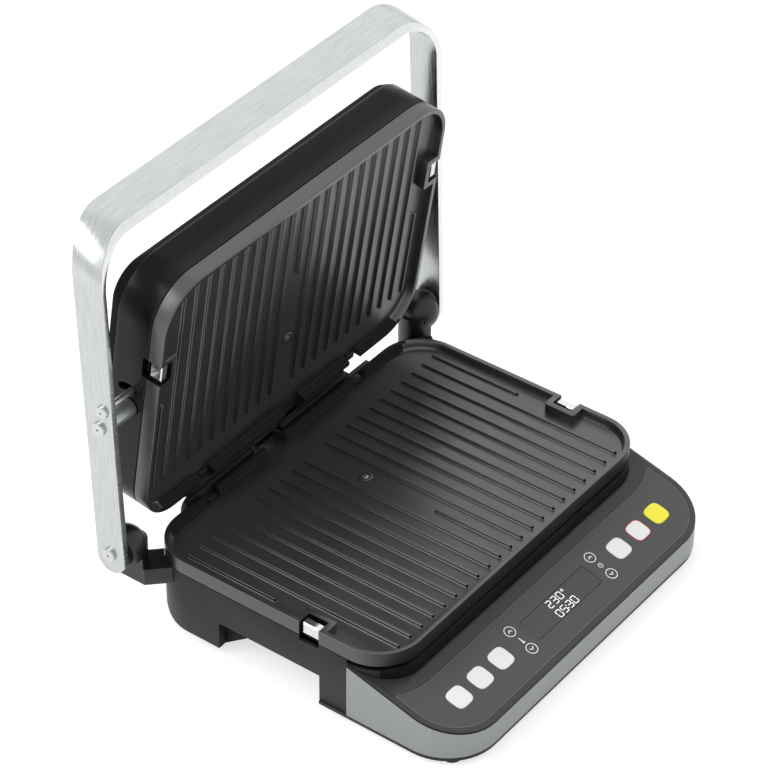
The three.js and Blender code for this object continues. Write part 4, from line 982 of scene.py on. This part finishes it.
def latch(prefix, label, side, place):
    body = prefix + "_latch_" + label
    bm = bmesh.new()
    loft(bm, latch_tab(side))
    settle(make(body + "_tab", bm, place, CHROME, 25), body, "chrome", body)
    bm = bmesh.new()
    for x0, x1, half, z0, z1, corner, edge in (
        (TAB_IN, 144.0, 6.6, -13.6, -4.0, 0.5, 0.3),
        (PEG_IN, 142.6, 4, -7.5, -5.3, 0.4, 0.4),
        (141.5, FRAME_OUT, 4, FRAME_LOW, -13.3, 0.4, 0.3),
        (TAB_IN, 146.8, 6.6, -13.6, -11.9, 0.8, 0.4),
        (FRAME_IN, 127.5, 7, FRAME_LOW, FRAME_HIGH, 0.4, 0.3),
        (140, FRAME_OUT, 7, FRAME_LOW, FRAME_HIGH, 0.4, 0.3),
    ):
        soft_box(bm, side * x0, side * x1, LATCH_Y - half, LATCH_Y + half, z0, z1, corner, edge)
    for edge in (-1, 1):
        y0, y1 = LATCH_Y + edge * 3, LATCH_Y + edge * 7
        soft_box(bm, side * FRAME_IN, side * FRAME_OUT, y0, y1, FRAME_LOW, FRAME_HIGH, 0.4, 0.3)
    # The carriage sits in the pocket and is given near-black painted shade
    settle(make(body + "_carriage", bm, place, SHADE_BLACK), body, "chrome")


# Springs, rear clips and temperature probes
def coil(bm, radius, wire, turns, x0, x1, y, z, steps=14):
    """A round wire wound about an axis along X."""
    rings = []
    total = turns * steps
    across = Vector((1, 0, 0))
    for i in range(total + 1):
        turn = 2 * math.pi * i / steps
        out = Vector((0, math.cos(turn), math.sin(turn)))
        centre = Vector((x0 + (x1 - x0) * i / total, y, z)) + out * radius
        angles = [2 * math.pi * k / 6 for k in range(6)]
        rings.append([centre + out * wire * math.cos(a) + across * wire * math.sin(a) for a in angles])
    loft(bm, rings)


def rear_clip(bm, x):
    half, low, depth = 4.5, HALF_D + 0.3, 1.2
    soft_box(bm, x - half, x + half, low, low + depth, -20, -4.6, 0.4, 0.4)
    soft_box(bm, x - half, x + half, low - 4.2, low + depth, -5.6, -4.4, 0.5, 0.4)
    soft_box(bm, x - half + 0.4, x + half - 0.4, low - 4.2, low - 3.2, -6.6, -4.8, 0.3, 0.3)


for prefix, body, place, left in (("lower", "base", LOWER, -1), ("upper", "lid", UPPER, 1)):
    for side in (-1, 1):
        label = "left" if side == left else "right"
        latch(prefix, label, side, place)
        node = prefix + "_latch_spring_" + label
        bm = bmesh.new()
        start, end, height = PEG_IN - 6.6, PEG_IN - 0.4, (FRAME_LOW + FRAME_HIGH) / 2
        coil(bm, 1.75, 0.45, 6, side * start, side * end, LATCH_Y, height)
        settle(make(node + "_coil", bm, place, SPRING), body, "spring_steel", node)
        node = prefix + "_rear_clip_" + label
        bm = bmesh.new()
        rear_clip(bm, side * CLIP_X)
        settle(make(node + "_tab", bm, place, CLIP), body, "sheet_metal", node)
    node = prefix + "_temperature_probe"
    spot = Matrix.Translation((0, PROBE_Y, 0))
    bm = bmesh.new()
    turned(bm, [(2.2, -34), (2.45, -33.8), (2.45, -6.3), (2.3, -5.9), (1.7, -5.65), (0.6, -5.6)], spot, 28)
    turned(bm, [(5.6, -34.2), (6, -33.8), (6, -12), (5.6, -11.6)], spot, 32)
    settle(make(node + "_button", bm, place, SPRING), body, "spring_steel", node)


# A deflector behind the two fat spouts, which leads the fat down
def deflector():
    left, right, low, thick = -24, 44, -24, 1.6
    bm = bmesh.new()
    soft_box(bm, left, right, 115.4, 117.0, low, -1.8, 0.5, 0.4)
    for x in (left, right - thick):
        soft_box(bm, x, x + thick, 103.8, 116.6, low, -2.4, 0.5, 0.4)
    settle(make("fat_deflector", bm, LOWER, BLACK), "base", "black_plastic")


deflector()


# Webs in front of the rear legs, set in from the sides of the tub
def leg_webs():
    outer, thick = 143.0, 3.6
    side_view = [(9.3, -38.4), (38.9, -60.7), (40.2, -60.7), (40.2, -38.4)]
    bm = bmesh.new()
    for x in (-outer, outer - thick):
        loft(bm, [[(at, y, z) for y, z in side_view] for at in (x, x + thick)])
    # The webs take the matt painted shade
    settle(make("rear_leg_webs", bm, LOWER, SHADE_MATT), "base", "black_plastic")


leg_webs()


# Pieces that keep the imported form, with rounded edges
housing = dress("base_housing", "base", "black_plastic", BLACK, 0.35)
# The tub's front faces get near-black painted shade, and the legs' front faces the matt painted shade
paint(housing, SHADE_BLACK, LOWER, lambda at, way: way.y < -0.6 and at.y > -140 and at.z > -40)
paint(housing, SHADE_MATT, LOWER, lambda at, way: way.y < -0.6 and at.y > 30 and at.z < -40)
bezel = dress("panel_bezel", "base", "panel_grey", PANEL_GREY, 0.3)
carve(bezel, key_holes(-8), smooth=32)
# The bezel's outer skirt gets the matt painted shade
paint(bezel, SHADE_MATT, PANEL, lambda at, way: (
    way.z < 0.8 and (way.y < -0.25 or abs(way.x) > 0.25) and (at.y < 8 or abs(at.x) > 128)
))
dress("silver_band", "base", "silver_paint", SILVER, 0.25)
dress("bottom_cover", "base", "black_plastic", BLACK, 0.4)
dress("rear_rail", "base", "black_plastic", BLACK, 0.35)
dress("lid_rail", "lid", "black_plastic", BLACK, 0.35)
dress("cable_inlet", "base", "rubber", RUBBER, 0.3)
dress("drip_tray", "drip_tray", "black_plastic", BLACK, 0.3)
dress("control_board", "base", "circuit_board", BOARD, 0.1)
FOOT_GROWTH = 0.13
for label in ("left", "right"):
    foot = dress("foot_front_" + label, "base", "rubber", RUBBER, 0.3)
    middle = sum((v.co for v in foot.data.vertices), Vector()) / len(foot.data.vertices)
    for vertex in foot.data.vertices:
        vertex.co.x += FOOT_GROWTH * (vertex.co.x - middle.x)
        vertex.co.y += FOOT_GROWTH * (vertex.co.y - middle.y)
    dress("foot_rear_" + label, "base", "rubber", RUBBER, 0.3)
for prefix, body in (("lower", "base"), ("upper", "lid")):
    dress(prefix + "_heater", body, "heater_steel", HEATER, 0)
    dress(prefix + "_reflector", body, "sheet_metal", SHEET, 0.15)


# Floor, backdrop, light and camera
def seen_ray(tree):
    """1 for the rays that show the backdrop: camera, glossy and transmission."""
    path = tree.nodes.new("ShaderNodeLightPath")
    value = path.outputs["Is Camera Ray"]
    for name in ("Is Glossy Ray", "Is Transmission Ray"):
        value = combine(tree, "MAXIMUM", value, path.outputs[name])
    return value


bpy.ops.mesh.primitive_plane_add(size=30, location=(0, 0, 0))
floor = bpy.context.object
floor.name = "floor"
paper = bpy.data.materials.new("floor_paper")
paper.use_nodes = True
tree = paper.node_tree
shader = tree.nodes["Principled BSDF"]
shader.inputs["Roughness"].default_value = 0.9
shader.inputs["Specular IOR Level"].default_value = 0.0
seen = seen_ray(tree)
tone = tree.nodes.new("ShaderNodeMix")
tone.data_type = "RGBA"
tone.inputs[6].default_value = (0.26, 0.26, 0.26, 1)
tone.inputs[7].default_value = (0.5, 0.5, 0.5, 1)
tree.links.new(seen, tone.inputs["Factor"])
tree.links.new(tone.outputs[2], shader.inputs["Base Color"])
shader.inputs["Emission Color"].default_value = (1, 1, 1, 1)
tree.links.new(remap(tree, seen, low=0.0, high=0.66), shader.inputs["Emission Strength"])
floor.data.materials.append(paper)

world = bpy.data.worlds.new("studio")
bpy.context.scene.world = world
world.use_nodes = True
tree = world.node_tree
sky = tree.nodes["Background"]
sky.inputs["Color"].default_value = (1, 1, 1, 1)
heading = tree.nodes.new("ShaderNodeSeparateXYZ")
tree.links.new(tree.nodes.new("ShaderNodeTexCoord").outputs["Generated"], heading.inputs[0])
level = tree.nodes.new("ShaderNodeMapRange")
level.inputs["To Max"].default_value = 1.0
tree.links.new(remap(tree, heading.outputs["Y"], low=0.6, high=1.3, start=-1.0), level.inputs["To Min"])
tree.links.new(seen_ray(tree), level.inputs["Value"])
tree.links.new(level.outputs["Result"], sky.inputs["Strength"])


def lamp(name, location, target, size, power):
    data = bpy.data.lights.new(name, "AREA")
    data.shape = "RECTANGLE"
    data.size, data.size_y = size
    data.energy = power
    obj = bpy.data.objects.new(name, data)
    bpy.context.scene.collection.objects.link(obj)
    obj.location = location
    obj.rotation_mode = "QUATERNION"
    obj.rotation_quaternion = (Vector(target) - Vector(location)).to_track_quat("-Z", "Y")


lamp("right_softbox", (1.3, 1.0, 1.7), (0, 0, 0.15), (2.2, 2.2), 4)
lamp("left_softbox", (-1.35, 1.0, 1.6), (0, 0, 0.2), (1.3, 1.3), 16)

data = bpy.data.cameras.new("camera")
camera = bpy.data.objects.new("camera", data)
bpy.context.scene.collection.objects.link(camera)
data.lens = 158.0
data.sensor_width = 36.0
data.clip_start, data.clip_end = 0.05, 50
right, up, back = (0.60093, -0.79926, 0.00584), (0.48856, 0.37313, 0.78877), (-0.63260, -0.47121, 0.61469)
turn = Matrix((right, up, back)).transposed().to_4x4()
camera.matrix_world = Matrix.Translation((-1.42496, -1.03994, 1.5323)) @ turn
bpy.context.scene.camera = camera
bpy.context.scene.view_settings.view_transform = "Standard"
